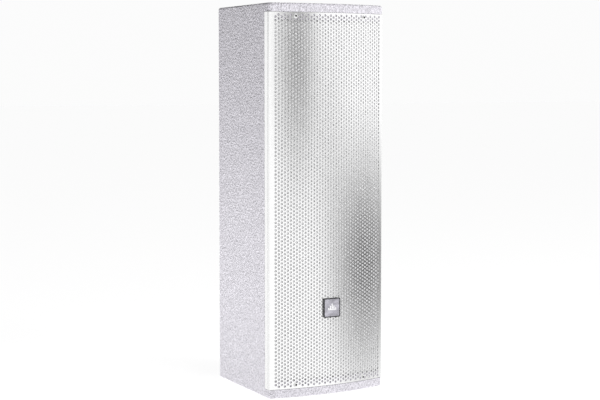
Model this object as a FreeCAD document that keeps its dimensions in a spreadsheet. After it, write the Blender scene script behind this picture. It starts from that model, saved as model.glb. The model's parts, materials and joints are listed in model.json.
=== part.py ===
import FreeCAD, Part
import math
import os

import Sketcher

# A two-way installation loudspeaker: a tapered plywood cabinet with a bowed perforated grille,
# two 200 mm woofers, a horn with its compression driver, a crossover and a rear input cup.
# Millimetres. +Z is up, the front faces -Y, and the origin is the middle of the base.

# The sheet's cells: name, size in millimetres (or degrees), and what it measures.
DIMENSIONS = [
    ("cabinet_height", 676, "overall height"),
    ("front_width", 236, "width across the front corners"),
    ("overall_depth", 248, "badge face to rear panel"),
    ("badge_proud", 2, "how far the badge stands in front of the end panels"),
    ("front_bow", 15.5, "bow of the curved front"),
    ("side_taper", 7.5, "angle of each side towards the back, degrees"),
    ("wall", 15, "plywood thickness"),
    ("edge_round", 4, "round-over along the end panels' outer edges"),
    ("corner_round", 8, "round-over of the upright corners"),
    ("side_setback", 17, "front corner of the end panels to the side panels' shoulder"),
    ("side_tongue", 7, "front corner of the end panels to the side panels' front edge"),
    ("tongue_step", 2.2, "step that takes the grille's return"),
    ("baffle_setback", 17.5, "front corner of the end panels to the baffle"),
    ("grille_sheet", 1.5, "thickness of the grille's steel"),
    ("grille_inset", 1, "grille behind the end panels' front edges"),
    ("grille_gap", 0.5, "gap between the grille and its neighbours"),
    ("grille_reveal", 0.2, "grille's return inside the cabinet's side"),
    ("grille_bend", 3, "outer radius of the grille's bends"),
    ("foam_thickness", 4, "foam behind the grille"),
    ("foam_half_width", 110.5, "half the foam's width"),
    ("cleat_height", 14, "height of the grille's cleats"),
    ("cleat_half_width", 100, "half the cleats' length between the side panels"),
    ("cleat_ear", 6.5, "cleat ears in front of the side tongues, from the end panels' front corner"),
    ("grille_screw_angle", 8.8, "grille screws, degrees from the middle of the bow"),
    ("grille_screw_radius", 2, "M4 screw"),
    ("badge_width", 33.5, "square badge"),
    ("badge_thickness", 2.7, "badge base"),
    ("badge_height", 151.5, "middle of the badge above the base"),
    ("badge_pin_radius", 1.95, "pin that the badge turns on"),
    ("upper_woofer_height", 547, "middle of the upper woofer above the base"),
    ("lower_woofer_height", 207, "middle of the lower woofer above the base"),
    ("woofer_radius", 99, "woofer flange"),
    ("woofer_cutout", 89, "radius of the woofer's hole in the baffle"),
    ("woofer_bolt_circle", 94, "radius of the woofer's screw circle"),
    ("flange_thickness", 4, "woofer and horn flanges"),
    ("basket_depth", 50, "flange to the inside of the basket's floor"),
    ("basket_sheet", 4, "thickness of the basket"),
    ("cone_radius", 75.2, "outer radius of the cone"),
    ("cone_sheet", 0.8, "thickness of the cone"),
    ("roll_centre", 80.75, "radius at the middle of the surround's roll"),
    ("roll_radius", 5.6, "outer radius of the surround's roll"),
    ("surround_sheet", 0.7, "thickness of the surround"),
    ("spider_seat", 55, "inner radius of the spider's ledge"),
    ("spider_depth", 36, "spider's ledge behind the flange's back"),
    ("coil_radius", 19, "inner radius of the woofer's voice coil"),
    ("top_plate_thickness", 6, "woofer's top plate"),
    ("magnet_radius", 60, "woofer's magnet"),
    ("magnet_thickness", 18, "woofer's magnet"),
    ("yoke_thickness", 7, "woofer's yoke plate"),
    ("horn_height", 377, "middle of the horn above the base"),
    ("horn_flange_width", 190, "horn flange"),
    ("horn_flange_rise", 138, "horn flange"),
    ("horn_cutout_width", 168, "horn's hole in the baffle"),
    ("horn_cutout_rise", 118, "horn's hole in the baffle"),
    ("horn_depth", 85, "baffle to the back of the horn"),
    ("horn_wall", 3, "horn's wall"),
    ("throat_radius", 12.7, "25.4 mm throat"),
    ("driver_radius", 44, "compression driver's plates"),
    ("port_height", 68, "middle of the ports above the base"),
    ("port_offset", 46, "middle of each port from the centre line"),
    ("port_radius", 32, "inside of the port tubes"),
    ("port_length", 120, "port tubes behind the baffle"),
    ("lower_brace_height", 294.5, "underside of the lower brace"),
    ("upper_brace_height", 447.5, "underside of the upper brace"),
    ("brace_thickness", 12, "braces"),
    ("lining_thickness", 10, "sound-absorbing pads"),
    ("insert_spacing_x", 70, "rear insert pattern, across"),
    ("insert_spacing_z", 127, "rear insert pattern, up"),
    ("insert_height", 430, "middle of the rear insert pattern above the base"),
    ("safety_height", 630, "safety insert above the base"),
    ("rear_thread_radius", 2.5, "M6 tapping radius"),
    ("bracket_thread_radius", 4.25, "M10 tapping radius"),
    ("board_width", 116, "crossover board"),
    ("board_rise", 120, "crossover board"),
    ("board_bottom", 160, "underside of the crossover board above the base"),
    ("board_spacer", 8, "crossover board to the rear panel"),
    ("board_sheet", 1.6, "thickness of the crossover board"),
    ("input_height", 90, "middle of the input cup above the base"),
    ("input_width", 124, "input cup's flange"),
    ("input_rise", 94, "input cup's flange"),
    ("input_flange", 3, "thickness of the input cup's flange"),
    ("dish_width", 104, "input cup's dish"),
    ("dish_rise", 74, "input cup's dish"),
    ("dish_depth", 38, "input cup's dish"),
    ("dish_wall", 2.5, "input cup's dish"),
    ("hinge_drop", 4, "cover's pin below the top of the dish's opening"),
    ("cover_sheet", 3, "thickness of the terminal cover"),
    ("cover_pin_radius", 1.25, "terminal cover's pin"),
    ("lead_radius", 2.2, "internal leads"),
]

UP = FreeCAD.Vector(0, 0, 1)
FORWARD = FreeCAD.Rotation(FreeCAD.Vector(1, 0, 0), 90)  # a piece's own Z points to the front
REARWARD = FreeCAD.Rotation(UP, 180) * FORWARD  # a piece's own Z points to the back
CLEARANCE = 0.03  # a screw or pin in the hole that holds it
ZERO = 1e-9

doc = FreeCAD.newDocument("InstallationLoudspeaker")
sheet = doc.addObject("Spreadsheet::Sheet", "Dimensions")
nodes = []


class Size:
    """A size with its value and the sheet expression that gives it."""

    def __init__(self, value, text):
        self.value = value
        self.text = text

    def __add__(self, other):
        return Size(self.value + value_of(other), f"({self.text} + {text_of(other)})")

    def __sub__(self, other):
        return Size(self.value - value_of(other), f"({self.text} - {text_of(other)})")

    def __mul__(self, other):
        return Size(self.value * value_of(other), f"({self.text} * {text_of(other)})")

    def __truediv__(self, other):
        return Size(self.value / value_of(other), f"({self.text} / {text_of(other)})")

    def __rsub__(self, other):
        return Size(other - self.value, f"({other} - {self.text})")

    def __neg__(self):
        return Size(-self.value, f"(0 - {self.text})")

    def root(self):
        return Size(math.sqrt(self.value), f"sqrt({self.text})")

    def tangent(self):
        return Size(math.tan(math.radians(self.value)), f"tan({self.text} * 1 deg)")

    def sine(self):
        return Size(math.sin(math.radians(self.value)), f"sin({self.text} * 1 deg)")

    def cosine(self):
        return Size(math.cos(math.radians(self.value)), f"cos({self.text} * 1 deg)")


def value_of(size):
    return size.value if isinstance(size, Size) else size


def text_of(size):
    return size.text if isinstance(size, Size) else f"({size})"


def fill_sheet():
    """Writes the driving dimensions to the sheet and returns them by name."""
    sizes = {}
    for row, (alias, number, note) in enumerate(DIMENSIONS, start=1):
        sheet.set(f"A{row}", note)
        sheet.set(f"B{row}", str(number))
        sheet.setAlias(f"B{row}", alias)
        sizes[alias] = Size(number, f"Dimensions.{alias}")
    doc.recompute()
    return sizes


D = fill_sheet()

# Places worked out from the driving dimensions
HALF_WIDTH = D["front_width"] / 2
BACK = D["overall_depth"] / 2
APEX = D["badge_proud"] - BACK
CORNER = APEX + D["front_bow"]
BOW_RADIUS = (HALF_WIDTH * HALF_WIDTH + D["front_bow"] * D["front_bow"]) / (D["front_bow"] * 2)
BOW_CENTRE = APEX + BOW_RADIUS
GRILLE_RADIUS = BOW_RADIUS - D["grille_inset"]
SHOULDER = CORNER + D["side_setback"]
BAFFLE = CORNER + D["baffle_setback"]
INNER_HEIGHT = D["cabinet_height"] - D["wall"] * 2
REAR_INSIDE = BACK - D["wall"]
DISH_HALF_RISE = D["dish_rise"] / 2 - D["dish_wall"]
HINGE_UP = DISH_HALF_RISE - D["hinge_drop"]  # cover's pin above the middle of the input cup
HINGE_DEPTH = D["cover_sheet"] + 0.6  # cover's pin in front of the rear face


def outer_half_width(y):
    """Half the cabinet's width at y."""
    return HALF_WIDTH - (y - CORNER) * D["side_taper"].tangent()


def inner_half_width(y):
    """Half the space between the side panels at y."""
    return outer_half_width(y) - D["wall"] / D["side_taper"].cosine()


def bow_at(radius, x):
    """y of an arc about the bow's centre, at x."""
    return BOW_CENTRE - (radius * radius - x * x).root()


# Helpers for objects and placements


def keep(thing, label):
    """Names a finished sub-part, which is then written out."""
    thing.Label = label
    nodes.append(thing)
    return thing


def bind(thing, name, size):
    setattr(thing, name, value_of(size))
    if isinstance(size, Size):
        thing.setExpression(name, size.text)


def place(thing, x=0, y=0, z=0, rotation=FreeCAD.Rotation()):
    base = FreeCAD.Vector(value_of(x), value_of(y), value_of(z))
    thing.Placement = FreeCAD.Placement(base, rotation)
    for axis, size in zip("xyz", (x, y, z)):
        if isinstance(size, Size):
            thing.setExpression(f"Placement.Base.{axis}", size.text)
    return thing


def box(name, corner, sizes, rotation=FreeCAD.Rotation()):
    block = doc.addObject("Part::Box", name)
    for side, size in zip(("Length", "Width", "Height"), sizes):
        bind(block, side, size)
    return place(block, *corner, rotation)


def cylinder(name, centre, radius, length, rotation=FORWARD):
    rod = doc.addObject("Part::Cylinder", name)
    bind(rod, "Radius", radius)
    bind(rod, "Height", length)
    return place(rod, *centre, rotation)


def cone(name, centre, radius_1, radius_2, length, rotation=FORWARD):
    taper = doc.addObject("Part::Cone", name)
    bind(taper, "Radius1", radius_1)
    bind(taper, "Radius2", radius_2)
    bind(taper, "Height", length)
    return place(taper, *centre, rotation)


def cut(name, base, tool):
    result = doc.addObject("Part::Cut", name)
    result.Base = base
    result.Tool = tool
    return result


def fuse(name, base, tool):
    result = doc.addObject("Part::Fuse", name)
    result.Base = base
    result.Tool = tool
    return result


def group(name, members):
    result = doc.addObject("Part::Compound", name)
    result.Links = members
    return result


# Helpers for bodies, sketches and their features


def new_body(label):
    body = doc.addObject("PartDesign::Body", label)
    body.Label = label
    return body


def plane_of(body, role):
    return next(item for item in body.Origin.OriginFeatures if item.Role == role)


def sketch_on(body, role, name, offset=0):
    """A sketch on one of the body's origin planes, moved along that plane's normal by offset."""
    sketch = body.newObject("Sketcher::SketchObject", f"{body.Name}_{name}")
    sketch.AttachmentSupport = (plane_of(body, role), [""])
    sketch.MapMode = "FlatFace"
    shift = FreeCAD.Vector(0, 0, value_of(offset))
    sketch.AttachmentOffset = FreeCAD.Placement(shift, FreeCAD.Rotation())
    if isinstance(offset, Size):
        sketch.setExpression("AttachmentOffset.Base.z", offset.text)
    return sketch


def fix_point(sketch, side, end, x, y):
    """Holds one end of a side, or a circle's centre, at x, y."""
    for kind, size, axis in (("DistanceX", x, -2), ("DistanceY", y, -1)):
        if abs(value_of(size)) < ZERO:
            sketch.addConstraint(Sketcher.Constraint("PointOnObject", side, end, axis))
            continue
        index = sketch.addConstraint(Sketcher.Constraint(kind, -1, 1, side, end, float(value_of(size))))
        if isinstance(size, Size):
            sketch.setExpression(f"Constraints[{index}]", size.text)


def fix_radius(sketch, side, radius):
    index = sketch.addConstraint(Sketcher.Constraint("Radius", side, float(value_of(radius))))
    if isinstance(radius, Size):
        sketch.setExpression(f"Constraints[{index}]", radius.text)


def arc_between(start, end, radius, turn):
    """The shorter arc from start to end; turn is 1 for anticlockwise and -1 for clockwise."""
    half = (end - start) / 2
    reach = math.sqrt(max(radius**2 - half.Length**2, 0))
    left = FreeCAD.Vector(-half.y, half.x, 0) / half.Length
    centre = start + half + left * reach * turn
    first, last = (start, end) if turn > 0 else (end, start)
    angles = [math.atan2(p.y - centre.y, p.x - centre.x) for p in (first, last)]
    return Part.ArcOfCircle(Part.Circle(centre, UP, radius), *angles)


def outline(sketch, corners, arcs=None):
    """A closed outline. arcs gives the sides that are arcs: side number to (radius, turn)."""
    arcs = arcs or {}
    count = len(corners)
    points = [FreeCAD.Vector(value_of(x), value_of(y), 0) for x, y in corners]
    starts, ends, sides = [], [], []
    for i in range(count):
        start, end = points[i], points[(i + 1) % count]
        if i in arcs:
            radius, turn = arcs[i]
            side = arc_between(start, end, value_of(radius), turn)
        else:
            turn = 1
            side = Part.LineSegment(start, end)
        sides.append(sketch.addGeometry(side))
        starts.append(1 if turn > 0 else 2)
        ends.append(2 if turn > 0 else 1)
    for i in range(count):
        following = (i + 1) % count
        joint = Sketcher.Constraint("Coincident", sides[i], ends[i], sides[following], starts[following])
        sketch.addConstraint(joint)
    for i, (x, y) in enumerate(corners):
        fix_point(sketch, sides[i], starts[i], x, y)
        if i in arcs:
            fix_radius(sketch, sides[i], arcs[i][0])


def circle_in(sketch, x, y, radius):
    centre = FreeCAD.Vector(value_of(x), value_of(y), 0)
    side = sketch.addGeometry(Part.Circle(centre, UP, value_of(radius)))
    fix_point(sketch, side, 3, x, y)
    fix_radius(sketch, side, radius)


def rounded_rectangle(sketch, half_width, half_rise, radius, x=0, y=0):
    """A rectangle about x, y with round corners."""
    across, up = half_width - radius, half_rise - radius
    corners, arcs = [], {}
    for i, (sx, sy) in enumerate(((1, -1), (1, 1), (-1, 1), (-1, -1))):
        near, far = ((across, half_rise), (half_width, up))
        if sx * sy > 0:
            near, far = far, near
        corners += [(near[0] * sx + x, near[1] * sy + y), (far[0] * sx + x, far[1] * sy + y)]
        arcs[2 * i] = (radius, 1)
    outline(sketch, corners, arcs)


def feature(body, kind, name, sketch):
    made = body.newObject(f"PartDesign::{kind}", f"{body.Name}_{name}")
    made.Profile = sketch
    sketch.Visibility = False
    return made


def pad(body, name, sketch, length, symmetric=False, backwards=False):
    made = feature(body, "Pad", name, sketch)
    made.SideType = "Symmetric" if symmetric else "One side"
    made.Reversed = backwards
    bind(made, "Length", length)
    doc.recompute()
    return made


def pocket(body, name, sketch, depth=None, backwards=False):
    """Cuts the sketch's outlines out, right through when depth is None."""
    before = body.Shape.Volume
    made = feature(body, "Pocket", name, sketch)
    made.Reversed = backwards
    if depth is None:
        made.SideType = "Symmetric"
        made.Type = "ThroughAll"
    else:
        bind(made, "Length", depth)
    doc.recompute()
    if made.Shape.Volume >= before - ZERO:
        raise ValueError(f"{made.Name} cuts nothing")
    return made


def round_edges(body, name, radius, wanted):
    """Fillets the edges for which wanted(edge) is true."""
    base = body.Tip
    made = body.newObject("PartDesign::Fillet", f"{body.Name}_{name}")
    made.Base = (base, [f"Edge{i}" for i, edge in enumerate(base.Shape.Edges, 1) if wanted(edge)])
    bind(made, "Radius", radius)
    doc.recompute()
    return made


def turn_round(body, name, original, axis, count):
    """Repeats a feature about an axis; the body's tip is the pattern."""
    pattern = body.newObject("PartDesign::PolarPattern", f"{body.Name}_{name}")
    pattern.Originals = [original]
    pattern.Axis = axis
    pattern.Angle = 360
    pattern.Occurrences = count
    body.Tip = pattern
    doc.recompute()
    return pattern


def mirror(body, name, originals):
    """Repeats features on the other side of the body's own YZ plane."""
    made = body.newObject("PartDesign::Mirrored", f"{body.Name}_{name}")
    made.Originals = originals
    made.MirrorPlane = (plane_of(body, "YZ_Plane"), [""])
    body.Tip = made
    doc.recompute()
    return made


def turned(label, corners, arcs=None):
    """A body turned about its own Z; corners are (radius, height)."""
    body = new_body(label)
    sketch = sketch_on(body, "XZ_Plane", "profile")
    outline(sketch, corners, arcs)
    made = feature(body, "Revolution", "turning", sketch)
    made.ReferenceAxis = (sketch, ["V_Axis"])
    made.Angle = 360
    doc.recompute()
    return body


def ring(label, inside, outside, back, front):
    return turned(label, [(inside, back), (outside, back), (outside, front), (inside, front)])


def upright(edge):
    ends = [vertex.Point for vertex in edge.Vertexes]
    return len(ends) == 2 and abs(ends[0].x - ends[1].x) + abs(ends[0].y - ends[1].y) < 1e-6


# Cabinet


def end_panel(label, height, outer_face):
    """The top or bottom panel, with the hole for its bracket insert."""
    body = new_body(label)
    plan = sketch_on(body, "XY_Plane", "plan")
    back_half = outer_half_width(BACK)
    corners = [(-HALF_WIDTH, CORNER), (HALF_WIDTH, CORNER), (back_half, BACK), (-back_half, BACK)]
    outline(plan, corners, {0: (BOW_RADIUS, 1)})
    pad(body, "board", plan, D["wall"])
    round_edges(body, "corners", D["corner_round"], upright)
    level = value_of(outer_face)

    def on_outer_face(edge):
        return all(abs(vertex.Point.z - level) < 1e-6 for vertex in edge.Vertexes)

    round_edges(body, "edges", D["edge_round"], on_outer_face)
    holes = sketch_on(body, "XY_Plane", "insert_hole")
    circle_in(holes, 0, 0, 7 + CLEARANCE)
    pocket(body, "insert_bore", holes)
    place(body, 0, 0, height)
    return keep(body, label)


def side_panel(label, side):
    """A side panel with the step in front that takes the grille's return."""
    body = new_body(label)
    plan = sketch_on(body, "XY_Plane", "plan")
    front = CORNER + D["side_tongue"]
    corners = [
        (outer_half_width(SHOULDER) * side, SHOULDER),
        (outer_half_width(BACK) * side, BACK),
        (inner_half_width(BACK) * side, BACK),
        (inner_half_width(front) * side, front),
        ((outer_half_width(front) - D["tongue_step"]) * side, front),
        ((outer_half_width(SHOULDER) - D["tongue_step"]) * side, SHOULDER),
    ]
    outline(plan, corners)
    pad(body, "board", plan, INNER_HEIGHT)
    corner_x = value_of(corners[1][0])

    def back_corner(edge):
        point = edge.Vertexes[0].Point
        return upright(edge) and abs(point.x - corner_x) < 1e-6 and abs(point.y - value_of(BACK)) < 1e-6

    round_edges(body, "back_corner", D["corner_round"], back_corner)
    place(body, 0, 0, D["wall"])
    return keep(body, label)


def cross_panel(label, front, thickness):
    """A panel across the cabinet between the side panels, with its own front face at y = 0."""
    body = new_body(label)
    plan = sketch_on(body, "XY_Plane", "plan")
    front_half, back_half = inner_half_width(front), inner_half_width(front + thickness)
    outline(plan, [(-front_half, 0), (front_half, 0), (back_half, thickness), (-back_half, thickness)])
    pad(body, "board", plan, INNER_HEIGHT)
    place(body, 0, front, D["wall"])
    return body


def circle_points(radius, count, start_angle):
    """Points round a circle, as (across, up), bound to the radius."""
    points = []
    for i in range(count):
        angle = math.radians(start_angle + 360 * i / count)
        points.append((radius * round(math.cos(angle), 6), radius * round(math.sin(angle), 6)))
    return points


def woofer_screw_places():
    """(x, z) of every woofer screw."""
    places = []
    for height in (D["lower_woofer_height"], D["upper_woofer_height"]):
        places += [(x, z + height) for x, z in circle_points(D["woofer_bolt_circle"], 8, 22.5)]
    return places


def horn_screw_places():
    """(x, z) of every horn screw: midway between the flange's edge and the hole in the baffle."""
    across = (D["horn_flange_width"] + D["horn_cutout_width"]) / 4
    up = (D["horn_flange_rise"] + D["horn_cutout_rise"]) / 4
    steps = [(i, j) for i in (-1, 0, 1) for j in (-1, 0, 1) if (i, j) != (0, 0)]
    return [(across * i, up * j + D["horn_height"]) for i, j in steps]


def front_baffle():
    body = cross_panel("front_baffle", BAFFLE, D["wall"])
    floor = D["wall"]
    cutouts = sketch_on(body, "XZ_Plane", "cutouts")
    for height in (D["lower_woofer_height"], D["upper_woofer_height"]):
        circle_in(cutouts, 0, height - floor, D["woofer_cutout"])
    for side in (-1, 1):
        circle_in(cutouts, D["port_offset"] * side, D["port_height"] - floor, D["port_radius"] + 2.7)
    half_rise = D["horn_cutout_rise"] / 2
    rounded_rectangle(cutouts, D["horn_cutout_width"] / 2, half_rise, 6, 0, D["horn_height"] - floor)
    pocket(body, "openings", cutouts)
    pilots = sketch_on(body, "XZ_Plane", "pilots")
    for x, z in woofer_screw_places() + horn_screw_places():
        circle_in(pilots, x, z - floor, 2 + CLEARANCE)
    pocket(body, "pilot_holes", pilots)
    return keep(body, "front_baffle")


def rear_insert_places():
    """(x, z) of the rear inserts: the bracket pattern, then the safety point."""
    places = []
    for i in (-1, 1):
        for j in (-1, 1):
            height = D["insert_spacing_z"] / 2 * j + D["insert_height"]
            places.append((D["insert_spacing_x"] / 2 * i, height))
    return places + [(0, D["safety_height"])]


def input_screw_places():
    """(x, z) of the input cup's screws, from the middle of the cup."""
    across, up = D["input_width"] / 2 - 5.5, D["input_rise"] / 2 - 5.5
    return [(across * i, up * j) for i in (-1, 1) for j in (-1, 1)]


def rear_panel():
    body = cross_panel("rear_panel", REAR_INSIDE, D["wall"])
    floor = D["wall"]
    middle = D["input_height"] - floor
    cutouts = sketch_on(body, "XZ_Plane", "cutouts")
    for x, z in rear_insert_places():
        circle_in(cutouts, x, z - floor, 4.5 + CLEARANCE)
    for x, z in input_screw_places():
        circle_in(cutouts, x, z + middle, 1.6 + CLEARANCE)
    rounded_rectangle(cutouts, D["dish_width"] / 2 + 0.5, D["dish_rise"] / 2 + 0.5, 6.5, 0, middle)
    pocket(body, "openings", cutouts)
    rebate = sketch_on(body, "XZ_Plane", "rebate", -D["wall"])
    rounded_rectangle(rebate, D["input_width"] / 2 + 0.5, D["input_rise"] / 2 + 0.5, 6.5, 0, middle)
    pocket(body, "rebate_pocket", rebate, D["input_flange"], backwards=True)
    return keep(body, "rear_panel")


def brace(label, height):
    """A shelf between baffle and rear panel, with a window for the air and the leads."""
    body = new_body(label)
    front, back = BAFFLE + D["wall"], REAR_INSIDE
    plan = sketch_on(body, "XY_Plane", "plan")
    front_half, back_half = inner_half_width(front), inner_half_width(back)
    outline(plan, [(-front_half, front), (front_half, front), (back_half, back), (-back_half, back)])
    pad(body, "board", plan, D["brace_thickness"])
    window = sketch_on(body, "XY_Plane", "window")
    rounded_rectangle(window, 48, 56, 15, 0, 28)
    pocket(body, "window_opening", window)
    place(body, 0, 0, height)
    return keep(body, label)


def side_linings():
    """Sound-absorbing pads on both side walls, in each bay between the braces."""
    bays = ((105, 183), (312, 130), (465, 190))
    front, length, gap = -50, 130, 0.3
    angle = value_of(D["side_taper"])
    pads = []
    for side in (-1, 1):
        turn = FreeCAD.Rotation(UP, angle * side)
        for number, (bottom, rise) in enumerate(bays):
            x = (inner_half_width(front) - gap) * side
            y = front
            if side > 0:
                x = x - D["lining_thickness"] * D["side_taper"].cosine()
                y = -(D["lining_thickness"] * D["side_taper"].sine()) + front
            name = f"lining_{'left' if side < 0 else 'right'}_{number + 1}"
            pads.append(box(name, (x, y, bottom), (D["lining_thickness"], length, rise), turn))
    return keep(group("side_linings_group", pads), "side_linings")


def insert(name, centre, outer_radius, bore_radius, length, rotation):
    sleeve = cylinder(f"{name}_sleeve", centre, outer_radius, length, rotation)
    bore = cylinder(f"{name}_bore", centre, bore_radius, length, rotation)
    return cut(name, sleeve, bore)


def inserts():
    """Threaded inserts, drawn at their tapping radius."""
    level = FreeCAD.Rotation()
    heights = (0, D["cabinet_height"] - D["wall"])
    brackets = []
    for number, height in enumerate(heights, start=1):
        name = f"bracket_insert_{number}"
        radius = D["bracket_thread_radius"]
        brackets.append(insert(name, (0, 0, height), 7, radius, D["wall"], level))
    keep(group("bracket_inserts_group", brackets), "bracket_inserts")
    rears = []
    for number, (x, z) in enumerate(rear_insert_places(), start=1):
        name = f"rear_insert_{number}"
        radius = D["rear_thread_radius"]
        rears.append(insert(name, (x, BACK, z), 4.5, radius, D["wall"] - 2, FORWARD))
    keep(group("rear_inserts_group", rears), "rear_inserts")


# Grille and badge


def grille_screw_sites():
    """(x, y, z, outward rotation) of each grille screw, on the grille's outer face."""
    lift = D["wall"] + D["cleat_height"] / 2
    sites = []
    for height in (lift, D["cabinet_height"] - lift):
        for side in (-1, 1):
            angle = D["grille_screw_angle"]
            x = GRILLE_RADIUS * angle.sine() * side
            y = BOW_CENTRE - GRILLE_RADIUS * angle.cosine()
            turn = FreeCAD.Rotation(UP, value_of(angle) * side) * FORWARD
            sites.append((x, y, height, turn))
    return sites


def radial_holes(name, radius):
    """Bores along the grille screws' axes, long enough to pass grille and cleat."""
    depth = 24
    bores = []
    for number, (x, y, z, turn) in enumerate(grille_screw_sites(), start=1):
        inward = turn.multVec(UP) * -depth
        start = (x + inward.x, y + inward.y, z)
        bores.append(cylinder(f"{name}_{number}", start, radius, depth + 6, turn))
    return group(f"{name}_group", bores)


def grille():
    """The bowed steel grille with its side returns, and the holes for its screws and the badge's pin."""
    body = new_body("grille_pressing")
    plan = sketch_on(body, "XY_Plane", "plan")
    front_half = HALF_WIDTH - D["grille_reveal"]
    front = bow_at(GRILLE_RADIUS, front_half)
    back = SHOULDER - D["grille_gap"]
    back_half = front_half - (back - front) * D["side_taper"].tangent()
    corners = [(-front_half, front), (front_half, front), (back_half, back), (-back_half, back)]
    outline(plan, corners, {0: (GRILLE_RADIUS, 1)})
    pad(body, "bulk", plan, INNER_HEIGHT - D["grille_gap"] * 2)
    bend_y = value_of(front)

    def at_bend(edge):
        return upright(edge) and abs(edge.Vertexes[0].Point.y - bend_y) < 1e-6

    bulk = round_edges(body, "bends", D["grille_bend"], at_bend)
    top, bottom = bulk.Shape.BoundBox.ZMax, bulk.Shape.BoundBox.ZMin
    back_y = value_of(back)

    def is_open(face):
        middle = face.CenterOfMass
        return min(abs(middle.z - top), abs(middle.z - bottom), abs(middle.y - back_y)) < 1e-6

    shell = body.newObject("PartDesign::Thickness", "grille_pressing_sheet")
    shell.Base = (bulk, [f"Face{i}" for i, face in enumerate(bulk.Shape.Faces, 1) if is_open(face)])
    shell.Reversed = True
    bind(shell, "Value", D["grille_sheet"])
    place(body, 0, 0, D["wall"] + D["grille_gap"])
    doc.recompute()
    screw_holes = radial_holes("grille_screw_hole", D["grille_screw_radius"] + 0.25)
    drilled = cut("grille_drilled", body, screw_holes)
    centre = (0, APEX + 10, D["badge_height"])
    bore = cylinder("badge_pin_hole", centre, D["badge_pin_radius"] + 0.05, 20)
    return keep(cut("grille_cut", drilled, bore), "grille")


def grille_foam():
    body = new_body("grille_foam")
    plan = sketch_on(body, "XY_Plane", "plan")
    half = D["foam_half_width"]
    outer = GRILLE_RADIUS - D["grille_sheet"]
    inner = outer - D["foam_thickness"]
    corners = [
        (-half, bow_at(outer, half)),
        (half, bow_at(outer, half)),
        (half, bow_at(inner, half)),
        (-half, bow_at(inner, half)),
    ]
    outline(plan, corners, {0: (outer, 1), 2: (inner, -1)})
    bottom = D["wall"] + D["cleat_height"] + 0.5
    pad(body, "sheet", plan, D["cabinet_height"] - bottom * 2)
    hole = sketch_on(body, "XZ_Plane", "badge_hole")
    circle_in(hole, 0, D["badge_height"] - bottom, 7)
    pocket(body, "badge_opening", hole)
    place(body, 0, 0, bottom)
    return keep(body, "grille_foam")


def grille_cleats():
    """Two battens behind the grille's ends, which its screws bite into."""
    battens = []
    front_radius = GRILLE_RADIUS - D["grille_sheet"] - 0.2
    half, ear, step = D["cleat_half_width"], D["foam_half_width"], CORNER + D["cleat_ear"]
    heights = (D["wall"], D["cabinet_height"] - D["wall"] - D["cleat_height"])
    for name, height in zip(("lower_cleat", "upper_cleat"), heights):
        body = new_body(name)
        plan = sketch_on(body, "XY_Plane", "plan")
        front = bow_at(front_radius, ear)
        right = [(ear, front), (ear, step), (half, step), (half, BAFFLE)]
        corners = [(-ear, front), *right, (-half, BAFFLE), (-half, step), (-ear, step)]
        outline(plan, corners, {0: (front_radius, 1)})
        pad(body, "batten", plan, D["cleat_height"])
        battens.append(place(body, 0, 0, height))
    pilots = radial_holes("cleat_pilot", D["grille_screw_radius"] + CLEARANCE)
    return keep(cut("cleats_cut", group("cleats_group", battens), pilots), "grille_cleats")


def grille_screws():
    """Button-head screws with hexagon sockets, square to the bowed face."""
    head_height, head_radius, socket_depth, shank = 2.2, 4, 1.6, 14
    screws = []
    for number, (x, y, z, turn) in enumerate(grille_screw_sites(), start=1):
        name = f"grille_screw_{number}"
        outward = turn.multVec(UP)
        inner = (x - outward.x * shank, y - outward.y * shank, z)
        rod = cylinder(f"{name}_shank", inner, D["grille_screw_radius"], shank, turn)
        head = cone(f"{name}_head", (x, y, z), head_radius, head_radius * 0.6, head_height, turn)
        socket = doc.addObject("Part::Prism", f"{name}_socket")
        socket.Polygon = 6
        socket.Circumradius = 1.5
        socket.Height = socket_depth + 1
        lift = head_height - socket_depth
        place(socket, x + outward.x * lift, y + outward.y * lift, z, turn)
        screws.append(cut(name, fuse(f"{name}_solid", head, rod), socket))
    return keep(group("grille_screws_group", screws), "grille_screws")


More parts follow.
